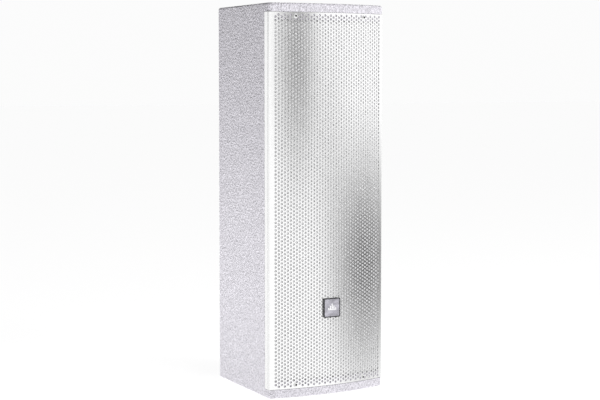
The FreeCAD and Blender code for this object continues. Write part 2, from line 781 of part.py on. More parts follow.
def badge():
    """A square badge that turns on a pin through the grille, with a plain raised emblem."""
    front = -BACK
    middle = D["badge_height"]
    half = D["badge_width"] / 2
    rim, recess = 1.6, 0.8
    base = new_body("badge_base")
    face = sketch_on(base, "XY_Plane", "square")
    rounded_rectangle(face, half, half, 2.5)
    pad(base, "plate", face, D["badge_thickness"], backwards=True)
    window = sketch_on(base, "XY_Plane", "window")
    rounded_rectangle(window, half - rim, half - rim, 1.5)
    pocket(base, "recess", window, recess)
    pin = sketch_on(base, "XY_Plane", "pin", -D["badge_thickness"])
    circle_in(pin, 0, 0, D["badge_pin_radius"])
    pad(base, "pin_stem", pin, 6, backwards=True)
    keep(place(base, 0, front, middle, FORWARD), "badge_base")

    inlay = new_body("badge_face")
    square = sketch_on(inlay, "XY_Plane", "square")
    rounded_rectangle(square, half - rim - 0.1, half - rim - 0.1, 1.4)
    pad(inlay, "plate", square, 0.5)
    keep(place(inlay, 0, front + recess, middle, FORWARD), "badge_face")

    # Five upright bars on a foot, like a level display
    emblem = new_body("badge_emblem")
    bars = sketch_on(emblem, "XY_Plane", "bars")
    bar, gap, foot = 2.2, 1.3, 1.4
    rises = (4, 7.5, 11, 7.5, 4)
    span = bar * len(rises) + gap * (len(rises) - 1)
    corners = [(-span / 2, -4), (span / 2, -4)]
    for number, rise in enumerate(reversed(rises)):
        right = span / 2 - number * (bar + gap)
        corners += [(right, rise - 4), (right - bar, rise - 4)]
        if number < len(rises) - 1:
            corners += [(right - bar, foot - 4), (right - bar - gap, foot - 4)]
    outline(bars, corners)
    pad(emblem, "raised", bars, 0.3)
    keep(place(emblem, 0, front + recess - 0.5, middle, FORWARD), "badge_emblem")

    collar = ring("badge_retainer", D["badge_pin_radius"], 4.5, 0, 1)
    inner_face = APEX + D["grille_inset"] + D["grille_sheet"]
    keep(place(collar, 0, inner_face + 1.3, middle, FORWARD), "badge_retainer")


# Woofers


def woofer_frame(prefix):
    """A basket with six windows, eight screw holes and a ledge for the spider."""
    cutout, flange, floor = D["woofer_cutout"], D["flange_thickness"], D["basket_depth"]
    sheet_metal = D["basket_sheet"]
    ledge = -D["spider_depth"]
    corners = [
        (cutout - 1, 0),
        (D["woofer_radius"], 0),
        (D["woofer_radius"], flange),
        (cutout - 5, flange),
        (cutout - 5, -1),
        (D["spider_seat"] + 6, ledge),
        (D["spider_seat"], ledge),
        (D["spider_seat"] - 5, -floor),
        (D["coil_radius"] + 3, -floor),
        (D["coil_radius"] + 3, -floor - sheet_metal),
        (D["spider_seat"] - 1.5, -floor - sheet_metal),
        (cutout - 2.5, -3),
        (cutout - 1, -3),
    ]
    body = turned(f"{prefix}_frame", corners)
    holes = sketch_on(body, "XY_Plane", "screw_hole")
    x, y = circle_points(D["woofer_bolt_circle"], 8, 22.5)[0]
    circle_in(holes, x, y, 2.2)
    drilled = pocket(body, "screw_bore", holes)
    turn_round(body, "screw_bores", drilled, (holes, ["N_Axis"]), 8)
    window = sketch_on(body, "XY_Plane", "window", -5)
    half_angle = math.radians(20)
    inside, outside = D["spider_seat"] + 6, cutout + 1
    across, up = math.cos(half_angle), math.sin(half_angle)
    corners = [
        (inside * across, -(inside * up)),
        (outside * across, -(outside * up)),
        (outside * across, outside * up),
        (inside * across, inside * up),
    ]
    outline(window, corners, {1: (outside, 1), 3: (inside, -1)})
    opened = pocket(body, "window_opening", window, D["spider_depth"] - 8)
    turn_round(body, "windows", opened, (window, ["N_Axis"]), 6)
    return body


def woofer_surround(prefix):
    """A half-roll surround with a foot on each side."""
    front = D["flange_thickness"]
    sheet_thickness = D["surround_sheet"]
    centre, outer = D["roll_centre"], D["roll_radius"]
    inner = outer - sheet_thickness
    sink = 0.3  # the roll's centre is this far behind the feet
    rise = sheet_thickness + sink
    reach = (outer * outer - rise * rise).root()
    inner_reach = (inner * inner - sink**2).root()
    corners = [
        (D["cone_radius"] - 3.7, front),
        (centre - inner_reach, front),
        (centre + inner_reach, front),
        (centre + outer + 3.65, front),
        (centre + outer + 3.65, front + sheet_thickness),
        (centre + reach, front + sheet_thickness),
        (centre - reach, front + sheet_thickness),
        (D["cone_radius"] - 3.7, front + sheet_thickness),
    ]
    return turned(f"{prefix}_surround", corners, {1: (inner, -1), 5: (outer, 1)})


def woofer_cone(prefix):
    neck = D["coil_radius"] + 0.45
    lip = D["flange_thickness"] - 0.2
    paper = D["cone_sheet"]
    corners = [
        (neck, -31.2),
        (D["cone_radius"] - 3.3, lip - paper),
        (D["cone_radius"], lip - paper),
        (D["cone_radius"], lip),
        (D["cone_radius"] - 3.8, lip),
        (neck, -30.1),
    ]
    return turned(f"{prefix}_cone", corners)


def woofer_dust_cap(prefix):
    """A shallow dome, part of a sphere."""
    edge, top, rim, paper = 26.6, -17.2, -25.0, 0.6
    rise = top - rim
    radius = (edge**2 + rise**2) / (2 * rise)
    inner_edge = math.sqrt((radius - paper) ** 2 - (radius - rise) ** 2)
    corners = [(0, top - paper), (inner_edge, rim), (edge, rim), (0, top)]
    return turned(f"{prefix}_dust_cap", corners, {0: (radius - paper, -1), 2: (radius, 1)})


def woofer_spider(prefix):
    """A corrugated disc between the voice coil and its ledge in the basket."""
    inside, ledge = D["coil_radius"] + 0.45, D["spider_seat"]
    seat = -D["spider_depth"]
    cloth, ridge, waves = 0.6, 1.6, 5
    upper, lower = [], []
    for i in range(2 * waves):
        radius = inside + 1.5 + (ledge - inside - 2) * i / (2 * waves)
        height = seat + (ridge if i % 2 else 0)
        lower.append((radius, height))
        upper.append((radius, height + cloth))
    lower = [(inside, seat)] + lower + [(ledge + 5.5, seat)]
    upper = [(inside, seat + cloth)] + upper + [(ledge + 5.5, seat + cloth)]
    return turned(f"{prefix}_spider", lower + upper[::-1])


def woofer_voice_coil(prefix):
    """The former, with the winding round its inner end."""
    inside = D["coil_radius"]
    corners = [
        (inside, -63),
        (inside + 1.1, -63),
        (inside + 1.1, -51),
        (inside + 0.4, -51),
        (inside + 0.4, -29),
        (inside, -29),
    ]
    return turned(f"{prefix}_voice_coil", corners)


def woofer_motor(prefix):
    """Top plate, magnet and yoke, stacked behind the basket."""
    front = -D["basket_depth"] - D["basket_sheet"]
    behind_plate = front - D["top_plate_thickness"]
    behind_magnet = behind_plate - D["magnet_thickness"]
    back = behind_magnet - D["yoke_thickness"]
    plate = ring(f"{prefix}_top_plate", D["coil_radius"] + 1.8, 50, behind_plate, front)
    magnet = ring(f"{prefix}_magnet", 30, D["magnet_radius"], behind_magnet, behind_plate)
    pole = D["coil_radius"] - 0.6
    vent = 5
    corners = [
        (vent, back),
        (50, back),
        (50, behind_magnet),
        (pole, behind_magnet),
        (pole, front - 1),
        (vent, front - 1),
    ]
    return [plate, magnet, turned(f"{prefix}_yoke", corners)]


def woofers():
    """Both woofers, and the tab block on each basket."""
    tabs = []
    for prefix, height, side in (
        ("upper", D["upper_woofer_height"], -1),
        ("lower", D["lower_woofer_height"], 1),
    ):
        frame = woofer_frame(prefix)
        pieces = [frame, woofer_surround(prefix), woofer_cone(prefix), woofer_dust_cap(prefix)]
        pieces += [woofer_spider(prefix), woofer_voice_coil(prefix)] + woofer_motor(prefix)
        for piece in pieces:
            keep(place(piece, 0, BAFFLE, height, FORWARD), piece.Label)
        low = height + (60 if side > 0 else -72)
        block = box(f"{prefix}_tab_block", (-12, BAFFLE + 36, low), (24, 14, 12))
        tabs.append(cut(f"{prefix}_tabs", block, frame))
    keep(group("woofer_terminals_group", tabs), "woofer_terminals")


def baffle_screws():
    """The screws of both woofers and of the horn: pan heads on their flanges."""
    head_radius, head_height, shank = 3.6, 2.2, 12
    screws = []
    front = BAFFLE - D["flange_thickness"]
    for number, (x, z) in enumerate(woofer_screw_places() + horn_screw_places(), start=1):
        name = f"baffle_screw_{number}"
        rod = cylinder(f"{name}_shank", (x, front + shank, z), 2, shank)
        head = cone(f"{name}_head", (x, front, z), head_radius, head_radius * 0.7, head_height)
        screws.append(fuse(name, head, rod))
    return keep(group("baffle_screws_group", screws), "baffle_screws")


# Horn and compression driver


def bowed_section(height, corner, middle):
    """A four-sided ring of arcs at a height: corner and middle are (across, up) on each quarter."""
    around = [(1, -1), (1, 1), (-1, 1), (-1, -1)]
    mids = [(middle[0], 0), (0, middle[1]), (-middle[0], 0), (0, -middle[1])]
    edges = []
    for i, (sx, sy) in enumerate(around):
        tx, ty = around[(i + 1) % 4]
        start = FreeCAD.Vector(corner[0] * sx, corner[1] * sy, height)
        end = FreeCAD.Vector(corner[0] * tx, corner[1] * ty, height)
        edges.append(Part.Arc(start, FreeCAD.Vector(*mids[i], height), end).toShape())
    return Part.Wire(edges)


def horn_loft(grow, front, back):
    """The flare from the mouth to the round throat, grown outwards by grow."""
    throat = value_of(D["throat_radius"]) + grow
    diagonal = throat * math.sqrt(0.5)
    half_mouth = value_of(D["horn_cutout_width"]) / 2 - 5 + grow
    mouth_rise = value_of(D["horn_cutout_rise"]) / 2 - 5 + grow
    sections = [
        bowed_section(front, (half_mouth, mouth_rise), (half_mouth + 0.5, mouth_rise + 0.5)),
        bowed_section(-30, (48 + grow, 36 + grow), (50 + grow, 37.5 + grow)),
        bowed_section(-60, (22 + grow, 19 + grow), (25 + grow, 21.5 + grow)),
        bowed_section(back, (diagonal, diagonal), (throat, throat)),
    ]
    return Part.makeLoft(sections, True, False)


def horn():
    """The moulded horn: flange, flared wall and the driver's mounting disc."""
    depth, lip = value_of(D["horn_depth"]), value_of(D["flange_thickness"])
    width, rise = value_of(D["horn_flange_width"]), value_of(D["horn_flange_rise"])
    plate = Part.makeBox(width, rise, lip, FreeCAD.Vector(-width / 2, -rise / 2, 0))
    upright_edges = [edge for edge in plate.Edges if upright(edge)]
    plate = plate.makeFillet(5, upright_edges)
    disc = Part.makeCylinder(value_of(D["driver_radius"]), 4, FreeCAD.Vector(0, 0, -depth))
    solid = plate.fuse([horn_loft(value_of(D["horn_wall"]), 0, -depth), disc])
    solid = solid.cut(horn_loft(0, lip + 0.1, -depth - 0.1))
    for x, z in horn_screw_places():
        centre = FreeCAD.Vector(value_of(x), value_of(z - D["horn_height"]), -1)
        solid = solid.cut(Part.makeCylinder(2.2, lip + 2, centre))
    piece = doc.addObject("Part::Feature", "horn")
    piece.Shape = solid.removeSplitter()
    return keep(place(piece, 0, BAFFLE, D["horn_height"], FORWARD), "horn")


def compression_driver():
    """Yoke with its bored pole, magnet, gap plate, diaphragm and rear cap, from the throat back."""
    front = -D["horn_depth"]
    plate, pole_radius, throat = D["driver_radius"], 21.5, D["throat_radius"]
    yoke_back, magnet_back, gap_back = front - 7, front - 22, front - 27
    corners = [
        (throat, front),
        (plate, front),
        (plate, yoke_back),
        (pole_radius, yoke_back),
        (pole_radius, gap_back),
        (throat, gap_back),
    ]
    pieces = [turned("driver_yoke", corners)]
    pieces.append(ring("driver_magnet", 28, plate + 2, magnet_back, yoke_back))
    pieces.append(ring("driver_gap_plate", pole_radius + 1.1, plate, gap_back, magnet_back))
    # The diaphragm: coil, flat flexure and a dome that bows to the back
    coil, film = pole_radius + 0.35, 0.4
    flat, top = gap_back - 0.7, gap_back - 7
    rise = 6.3
    inner = (coil**2 + rise**2) / (2 * rise)
    outer = ((coil + 0.15) ** 2 + (rise + 0.1) ** 2) / (2 * (rise + 0.1))
    corners = [
        (coil, gap_back + 4),
        (coil + film, gap_back + 4),
        (coil + film, flat),
        (coil + 3.65, flat),
        (coil + 3.65, flat - film),
        (coil + 0.15, flat - film),
        (0, top - 0.5),
        (0, top),
        (coil, flat),
    ]
    pieces.append(turned("driver_diaphragm", corners, {5: (outer, -1), 7: (inner, 1)}))
    shell, cap_back = 2.5, gap_back - 22
    corners = [
        (plate - shell, gap_back),
        (plate, gap_back),
        (plate, cap_back),
        (0, cap_back),
        (0, cap_back + shell),
        (plate - shell, cap_back + shell),
    ]
    pieces.append(turned("driver_rear_cap", corners))
    for piece in pieces:
        keep(place(piece, 0, BAFFLE, D["horn_height"], FORWARD), piece.Label)


def port_tubes():
    """Two bass ports with flared mouths."""
    inside, tube, flange, flare = D["port_radius"], 2.5, 3, 4
    outside = inside + flare + 2
    corners = [
        (inside + flare, flange),
        (outside, flange),
        (outside, 0),
        (inside + tube, 0),
        (inside + tube, -D["port_length"]),
        (inside, -D["port_length"]),
        (inside, flange - flare),
    ]
    for label, side in (("left_port_tube", -1), ("right_port_tube", 1)):
        body = turned(label, corners, {6: (flare, -1)})
        keep(place(body, D["port_offset"] * side, BAFFLE, D["port_height"], FORWARD), label)


# Crossover


def crossover():
    """The board on spacers behind the lower woofer, with its coils and capacitors."""
    width, rise, bottom = D["board_width"], D["board_rise"], D["board_bottom"]
    back = REAR_INSIDE - D["board_spacer"]
    front = back - D["board_sheet"]
    middle = bottom + rise / 2
    board = box("board_blank", (-width / 2, front, bottom), (width, D["board_sheet"], rise))
    sites = [((width / 2 - 6) * i, (rise / 2 - 6) * j + middle) for i in (-1, 1) for j in (-1, 1)]
    bores, screws = [], []
    for number, (x, z) in enumerate(sites, start=1):
        name = f"board_screw_{number}"
        bores.append(cylinder(f"{name}_hole", (x, back + 1, z), 2.2, 5))
        spacer = cylinder(f"{name}_spacer", (x, REAR_INSIDE, z), 4, D["board_spacer"])
        rod = cylinder(f"{name}_shank", (x, back, z), 2, D["board_sheet"])
        head = cylinder(f"{name}_head", (x, front, z), 3.6, 2.2)
        screws.append(fuse(name, fuse(f"{name}_stem", spacer, rod), head))
    keep(cut("board_cut", board, group("board_holes", bores)), "crossover_board")
    keep(group("board_screws_group", screws), "board_screws")

    coils = []
    for number, (x, z, radius, depth) in enumerate(((-28, 190, 24, 20), (28, 190, 20, 18)), start=1):
        name = f"inductor_{number}"
        outer = cylinder(f"{name}_winding", (x, front, z), radius, depth)
        core = cylinder(f"{name}_core", (x, front, z), radius / 2, depth)
        coils.append(cut(name, outer, core))
    keep(group("inductors_group", coils), "inductors")

    along = FreeCAD.Rotation(FreeCAD.Vector(0, 1, 0), 90)
    cans = []
    for number, (x, z, radius, length) in enumerate(((-50, 232, 9, 38), (12, 232, 9, 38)), start=1):
        centre = (x, front - radius - 0.2, z)
        cans.append(cylinder(f"capacitor_{number}", centre, radius, length, along))
    keep(group("capacitors_group", cans), "capacitors")


def lead(name, points, radius):
    """A round lead along straight runs joined by tangent arcs."""
    points = [FreeCAD.Vector(*point) for point in points]
    edges, start = [], points[0]
    for before, corner, after in zip(points, points[1:], points[2:]):
        into, out = corner - before, after - corner
        half_turn = into.getAngle(out) / 2
        shorter = min(into.Length, out.Length)
        setback = 0.45 * shorter
        bend_radius = setback / math.tan(half_turn)
        into.normalize()
        out.normalize()
        first, last = corner - into * setback, corner + out * setback
        inward = (out - into).normalize()
        offset = bend_radius / math.cos(half_turn) - bend_radius
        edges.append(Part.LineSegment(start, first).toShape())
        edges.append(Part.Arc(first, corner + inward * offset, last).toShape())
        start = last
        print(f"{name}: bend radius {bend_radius:.1f}")
    edges.append(Part.LineSegment(start, points[-1]).toShape())
    path = Part.Wire(edges)
    section = Part.Face(Part.Wire(Part.makeCircle(radius, points[0], points[1] - points[0])))
    solid = path.makePipe(section)
    expected = math.pi * radius**2 * path.Length
    if abs(solid.Volume - expected) > 0.001 * expected:
        raise ValueError(f"{name} has a wrong volume")
    piece = doc.addObject("Part::Feature", name)
    piece.Shape = solid
    return piece


def leads():
    """The leads from the input to the crossover and from there to each driver."""
    radius = value_of(D["lead_radius"])
    board = value_of(REAR_INSIDE - D["board_spacer"] - D["board_sheet"])
    baffle = value_of(BAFFLE)
    tab_back = baffle + 50
    low_tab = value_of(D["lower_woofer_height"]) + 66
    high_tab = value_of(D["upper_woofer_height"]) - 66
    cap_back = baffle + value_of(D["horn_depth"]) + 49
    horn_z = value_of(D["horn_height"]) - 12
    routes = {
        "lower_woofer_lead": [
            (30, board, 262),
            (30, 78, 262),
            (16, 50, 270),
            (2, 15, low_tab),
            (0, -15, low_tab),
            (0, tab_back, low_tab),
        ],
        "upper_woofer_lead": [
            (-30, board, 262),
            (-30, 83, 262),
            (-31, 72, 288),
            (-34, 70, 335),
            (-33, 72, 385),
            (-31, 66, 440),
            (-22, 42, 470),
            (-6, 5, high_tab),
            (0, tab_back + 18, high_tab),
            (0, tab_back, high_tab),
        ],
        "horn_lead": [
            (0, board, 270),
            (0, 84, 270),
            (2, 73, 290),
            (3, 70, 325),
            (1, 66, 352),
            (0, 56, horn_z),
            (0, cap_back, horn_z),
        ],
    }
    pieces = [lead(name, points, radius) for name, points in routes.items()]
    keep(group("speaker_leads_group", pieces), "speaker_leads")
    cup_back = value_of(BACK - D["dish_depth"])
    route = [
        (0, cup_back, 92),
        (0, 73, 92),
        (2, 65, 110),
        (1, 64, 138),
        (0, 72, 160),
        (0, 86, 170),
        (0, board, 170),
    ]
    keep(lead("input_lead", route, radius), "input_lead")


# Input cup, on the back


def input_cup():
    """A flanged dish with two hinge ears, two stops and four countersunk holes."""
    body = new_body("input_cup")
    flange = sketch_on(body, "XY_Plane", "flange")
    rounded_rectangle(flange, D["input_width"] / 2, D["input_rise"] / 2, 6)
    pad(body, "flange_plate", flange, D["input_flange"], backwards=True)
    dish = sketch_on(body, "XY_Plane", "dish")
    rounded_rectangle(dish, D["dish_width"] / 2, D["dish_rise"] / 2, 6)
    pad(body, "dish_block", dish, D["dish_depth"], backwards=True)
    inside = sketch_on(body, "XY_Plane", "inside")
    half_width, half_rise = D["dish_width"] / 2 - D["dish_wall"], DISH_HALF_RISE
    rounded_rectangle(inside, half_width, half_rise, 3.5)
    pocket(body, "hollow", inside, D["dish_depth"] - D["dish_wall"])

    ear = sketch_on(body, "YZ_Plane", "ear", 31)
    near, far = HINGE_UP - 3, half_rise + 0.5
    outline(ear, [(near, -6.5), (far, -6.5), (far, -0.8), (near, -0.8)])
    ear_pad = pad(body, "ear_block", ear, 5)
    stop = sketch_on(body, "YZ_Plane", "stop", 38)
    top = -D["cover_sheet"] - 0.2
    low = -half_rise - 0.5
    outline(stop, [(low, top - 3), (low + 4, top - 3), (low + 4, top), (low, top)])
    stop_pad = pad(body, "stop_block", stop, 6)
    mirror(body, "mirrored_lugs", [ear_pad, stop_pad])
    bore = sketch_on(body, "YZ_Plane", "pin_bore", 30)
    circle_in(bore, HINGE_UP, -HINGE_DEPTH, D["cover_pin_radius"] + CLEARANCE)
    right = pocket(body, "pin_hole", bore, 7, backwards=True)
    mirror(body, "mirrored_pin_hole", [right])

    doc.recompute()
    holes = sketch_on(body, "XY_Plane", "screw_holes")
    for x, z in input_screw_places():
        circle_in(holes, x, z, 2)
    drilled = body.newObject("PartDesign::Hole", "input_cup_screw_bores")
    drilled.Profile = holes
    doc.recompute()
    drilled.Diameter = 3.6
    drilled.HoleCutType = "Countersink"
    drilled.HoleCutDiameter = 7.4
    drilled.HoleCutCountersinkAngle = 90
    drilled.DepthType = "Dimension"
    drilled.Depth = 4
    drilled.DrillPoint = "Flat"
    doc.recompute()
    return keep(place(body, 0, BACK, D["input_height"], REARWARD), "input_cup")


def input_screws():
    """Countersunk screws of the input cup."""
    screws = []
    for number, (x, z) in enumerate(input_screw_places(), start=1):
        name = f"input_screw_{number}"
        height = z + D["input_height"]
        head = cone(f"{name}_head", (x, BACK - 1.85, height), 1.7, 3.55, 1.85, REARWARD)
        rod = cylinder(f"{name}_shank", (x, BACK - 14, height), 1.6, 12.5, REARWARD)
        screws.append(fuse(name, head, rod))
    return keep(group("input_screws_group", screws), "input_screws")


def terminals():
    """A four-way barrier strip on the dish's floor, with its screws."""
    body = new_body("terminal_block")
    half_length, half_rise, base_height, fin_height = 32, 11, 10, 16
    pitch, fin = 15, 2
    plan = sketch_on(body, "XY_Plane", "plan")
    ends = [(-half_length, -half_rise), (half_length, -half_rise)]
    outline(plan, ends + [(-x, -y) for x, y in ends])
    pad(body, "base", plan, base_height)
    fins = sketch_on(body, "XY_Plane", "fins")
    for number in range(5):
        left = (number - 2) * pitch - fin / 2
        right = left + fin
        outline(fins, [(left, -half_rise), (right, -half_rise), (right, half_rise), (left, half_rise)])
    pad(body, "barriers", fins, fin_height)
    holes = sketch_on(body, "XY_Plane", "holes", base_height)
    places = [((number - 1.5) * pitch, row) for number in range(4) for row in (-5.5, 5.5)]
    for x, y in places:
        circle_in(holes, x, y, 1.6 + CLEARANCE)
    pocket(body, "screw_holes", holes, 8.5)
    floor = BACK - D["dish_depth"] + D["dish_wall"]
    keep(place(body, 0, floor, D["input_height"], REARWARD), "terminal_block")
    screws = []
    for number, (x, y) in enumerate(places, start=1):
        name = f"terminal_screw_{number}"
        height = D["input_height"] + y
        head = cylinder(f"{name}_head", (x, floor + base_height, height), 3.2, 2, REARWARD)
        rod = cylinder(f"{name}_shank", (x, floor + 2, height), 1.6, base_height - 1, REARWARD)
        screws.append(fuse(name, head, rod))
    keep(group("terminal_screws_group", screws), "terminal_screws")


def terminal_cover():
    """The flap over the dish, hung on a pin along its top edge, with two cable notches below."""
    body = new_body("terminal_cover")
    half_width = D["dish_width"] / 2 - D["dish_wall"] - 1
    low = -DISH_HALF_RISE + 1
    shoulder, knuckle_half = HINGE_UP - 5, 30
    corners = [(-half_width, low)]
    arcs = {}
    notch = 5
    for x in (-22, 22):
        arcs[len(corners)] = (notch + 0.5, -1)
        corners += [(x - notch, low), (x + notch, low)]
    corners += [(half_width, low), (half_width, shoulder)]
    corners += [(knuckle_half, shoulder), (knuckle_half, HINGE_UP)]
    corners += [(-knuckle_half, HINGE_UP), (-knuckle_half, shoulder), (-half_width, shoulder)]
    plan = sketch_on(body, "XY_Plane", "plan")
    outline(plan, corners, arcs)
    pad(body, "flap", plan, D["cover_sheet"], backwards=True)
    knuckle = sketch_on(body, "YZ_Plane", "knuckle")
    circle_in(knuckle, HINGE_UP, -HINGE_DEPTH, HINGE_DEPTH - 0.2)
    pad(body, "barrel", knuckle, knuckle_half * 2, symmetric=True)
    bore = sketch_on(body, "YZ_Plane", "bore")
    circle_in(bore, HINGE_UP, -HINGE_DEPTH, D["cover_pin_radius"] + 0.06)
    pocket(body, "pin_bore", bore)
    keep(place(body, 0, BACK, D["input_height"], REARWARD), "terminal_cover")
    along = FreeCAD.Rotation(FreeCAD.Vector(0, 1, 0), 90)
    centre = (-36, BACK - HINGE_DEPTH, HINGE_UP + D["input_height"])
    keep(cylinder("cover_pin_rod", centre, D["cover_pin_radius"], 72, along), "cover_pin")


def build():
    end_panel("top_panel", D["cabinet_height"] - D["wall"], D["wall"])
    end_panel("bottom_panel", 0, 0)
    side_panel("left_side_panel", -1)
    side_panel("right_side_panel", 1)
    front_baffle()
    rear_panel()
    brace("lower_brace", D["lower_brace_height"])
    brace("upper_brace", D["upper_brace_height"])
    side_linings()
    inserts()
    grille()
    grille_foam()
    grille_cleats()
    grille_screws()
    badge()
    woofers()
    baffle_screws()
    horn()
    compression_driver()
    port_tubes()
    crossover()
    leads()
    input_cup()
    input_screws()
    terminals()
    terminal_cover()


def check_document():
    """Stops if any object failed, or if a sub-part has no valid shape."""
    doc.recompute()
    for thing in doc.Objects:
        if {"Invalid", "Error"} & set(thing.State):
            raise ValueError(f"{thing.Name} failed: {thing.State}")
    for thing in nodes:
        if thing.Shape.isNull() or not thing.Shape.isValid():
            raise ValueError(f"{thing.Label} has no valid shape")


def write_parts():
    os.makedirs("parts", exist_ok=True)
    for thing in nodes:
        thing.Shape.exportStep(os.path.join("parts", f"{thing.Label}.step"))
        solids = len(thing.Shape.Solids)
        print(f"{thing.Label}: {solids} solid(s), {thing.Shape.Volume / 1000:.2f} cm3")


build()
check_document()
write_parts()
print(f"{len(nodes)} sub-parts")
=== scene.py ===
"""The looks of a tapered installation loudspeaker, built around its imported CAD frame.

Metres, +Z up, front to -Y.
"""

import json
import math

import bmesh
import bpy
from mathutils import Euler, Matrix, Vector, noise


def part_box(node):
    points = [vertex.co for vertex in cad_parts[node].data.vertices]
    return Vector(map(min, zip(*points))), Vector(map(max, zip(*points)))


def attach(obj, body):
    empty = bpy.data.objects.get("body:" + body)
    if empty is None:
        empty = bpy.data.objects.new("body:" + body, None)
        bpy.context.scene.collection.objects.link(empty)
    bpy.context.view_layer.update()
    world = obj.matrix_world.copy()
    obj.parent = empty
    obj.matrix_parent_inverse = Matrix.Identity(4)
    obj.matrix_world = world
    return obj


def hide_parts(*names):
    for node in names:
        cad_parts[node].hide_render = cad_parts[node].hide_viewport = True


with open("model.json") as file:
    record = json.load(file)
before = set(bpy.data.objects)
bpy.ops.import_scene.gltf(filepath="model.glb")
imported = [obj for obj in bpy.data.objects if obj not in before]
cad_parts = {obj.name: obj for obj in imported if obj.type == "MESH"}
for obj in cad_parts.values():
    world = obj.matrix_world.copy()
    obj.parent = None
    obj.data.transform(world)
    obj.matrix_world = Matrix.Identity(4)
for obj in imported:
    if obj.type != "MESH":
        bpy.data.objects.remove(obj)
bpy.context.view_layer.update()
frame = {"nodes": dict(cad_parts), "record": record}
nodes = frame["nodes"]
scene = bpy.context.scene

MM = 0.001
SEED = 7

# Camera: place, heading to the right of +Y, tilt down, and focal length and sensor width in mm
CAMERA_PLACE = (-1.494, -2.4185, 0.5435)
CAMERA_HEADING = 31.9
CAMERA_TILT = -4.274
CAMERA_LENS = 95.37
CAMERA_SENSOR = 36

# Grille: a bowed perforated sheet with a bend and a plain straight return on each side
SHEET = 1.5 * MM
BOW_RADIUS = 455.9 * MM
HALF_WIDTH = 117.8 * MM
BEND_RADIUS = 3 * MM
BEND_STEPS = 8
SIDE_TAPER = math.radians(7.5)
RETURN_CHUNK = 20  # points of the pattern's side edge along one strip of the return

# Its holes: octagons with the area of a 4.4 mm round hole, which keep the mesh under 200,000 faces
HOLE_PITCH = 6.35 * MM
HOLE_RADIUS = 2.32 * MM
HOLE_SIDES = 8
COLUMN_SHIFT = -1.8 * MM
EDGE_MARGIN = 0.1 * MM  # least metal between a hole and an edge
SIDE_MARGIN = 4.0 * MM  # further plain border beside each bend
SCREW_MARGIN = 4.3 * MM  # cells nearer than this to a screw or to the badge's pin stay plain
SAME_LINE = 1e-9

# Bores for the badge's pin
PIN_BORE = 2.1 * MM
FOAM_BORE = 7 * MM
DRILL_DEPTH = 24 * MM
DRILL_SIDES = 48

# Grille screws: head radius, and where the near-black disc of painted socket shade fades out, as a
# part of it
SCREW_HEAD = 4 * MM
SOCKET_SHADE_EDGE = (0.42, 0.5)

# Soft pieces: a little thinner than their CAD solids, so that they stay clear of their neighbours
DENT_SCALE = 9 * MM
DENT_LEVEL = 0.6
FOAM_GAP = 0.1 * MM
FOAM_DEPTH = 3.8 * MM
FOAM_DENT = 0.3 * MM
FOAM_CELL = 5 * MM
FOAM_RIM = 0.3 * MM
LINING_CAD_DEPTH = 10 * MM
LINING_DEPTH = 9.4 * MM
LINING_FACE = 9.7 * MM  # lumpy face, inwards from the CAD solid's outer side
LINING_DENT = 2 * MM
LINING_CELL = 7 * MM
LINING_RIM = 3.3 * MM

# Studio: a white surround, dimmer overhead, dark above the horizon on the left, and brighter ahead
FLOOR_GREY = 0.50
FLOOR_GLOW = 0.768
FLOOR_HALF = 30
FLOOR_DROP = 0.2 * MM
SKY_SEEN = 0.97
SKY_OVERHEAD = 0.42
OVERHEAD_SPAN = (0.3, 0.95)
DARK_SIDE = (-0.94, 0.34, 0)
DARK_SIDE_SPAN = (-0.2, 0.4)
DARK_ABOVE_SPAN = (0.03, 0.12)
DARK_LEVEL = 0.04
BRIGHT_FRONT = (0.6, -0.8, 0)
BRIGHT_SPAN = (0.3, 0.9)
BRIGHT_LEVEL = 1.1
UP = (0, 0, 1)
WHITE = (1, 1, 1, 1)

# Rounding of sharp CAD edges
BADGE_EDGE = 0.25 * MM
COVER_EDGE = 0.4 * MM


# Materials


def new_material(name, color, roughness, metallic=0.0):
    """A material with its shader, ready for procedural detail."""
    material = bpy.data.materials.new(name)
    material.use_nodes = True
    shader = material.node_tree.nodes["Principled BSDF"]
    shader.inputs["Base Color"].default_value = (*color, 1)
    shader.inputs["Roughness"].default_value = roughness
    shader.inputs["Metallic"].default_value = metallic
    return material, shader


def add_node(material, kind, **inputs):
    node = material.node_tree.nodes.new(kind)
    for name, value in inputs.items():
        node.inputs[name.replace("_", " ")].default_value = value
    return node


def join(material, source, target):
    material.node_tree.links.new(source, target)


def place_texture(material, texture, stretch=(1, 1, 1)):
    """Feeds a texture with object coordinates, which are metres here, stretched along each axis."""
    coordinates = add_node(material, "ShaderNodeTexCoord")
    mapping = add_node(material, "ShaderNodeMapping")
    mapping.inputs["Scale"].default_value = stretch
    join(material, coordinates.outputs["Object"], mapping.inputs["Vector"])
    join(material, mapping.outputs["Vector"], texture.inputs["Vector"])
    return texture


def noise_texture(material, scale, detail=3.0, stretch=(1, 1, 1)):
    texture = add_node(material, "ShaderNodeTexNoise", Scale=scale, Detail=detail)
    return place_texture(material, texture, stretch).outputs["Fac"]


def cell_texture(material, scale, feature="SMOOTH_F1"):
    texture = add_node(material, "ShaderNodeTexVoronoi")
    texture.feature = feature
    texture.inputs["Scale"].default_value = scale
    return place_texture(material, texture).outputs["Distance"]


def vary_color(material, shader, fac, dark, light, low=0.3, high=0.7):
    """Base colour between two shades, by a texture."""
    ramp = add_node(material, "ShaderNodeValToRGB")
    ramp.color_ramp.elements[0].position = low
    ramp.color_ramp.elements[1].position = high
    ramp.color_ramp.elements[0].color = (*dark, 1)
    ramp.color_ramp.elements[1].color = (*light, 1)
    join(material, fac, ramp.inputs["Fac"])
    join(material, ramp.outputs["Color"], shader.inputs["Base Color"])


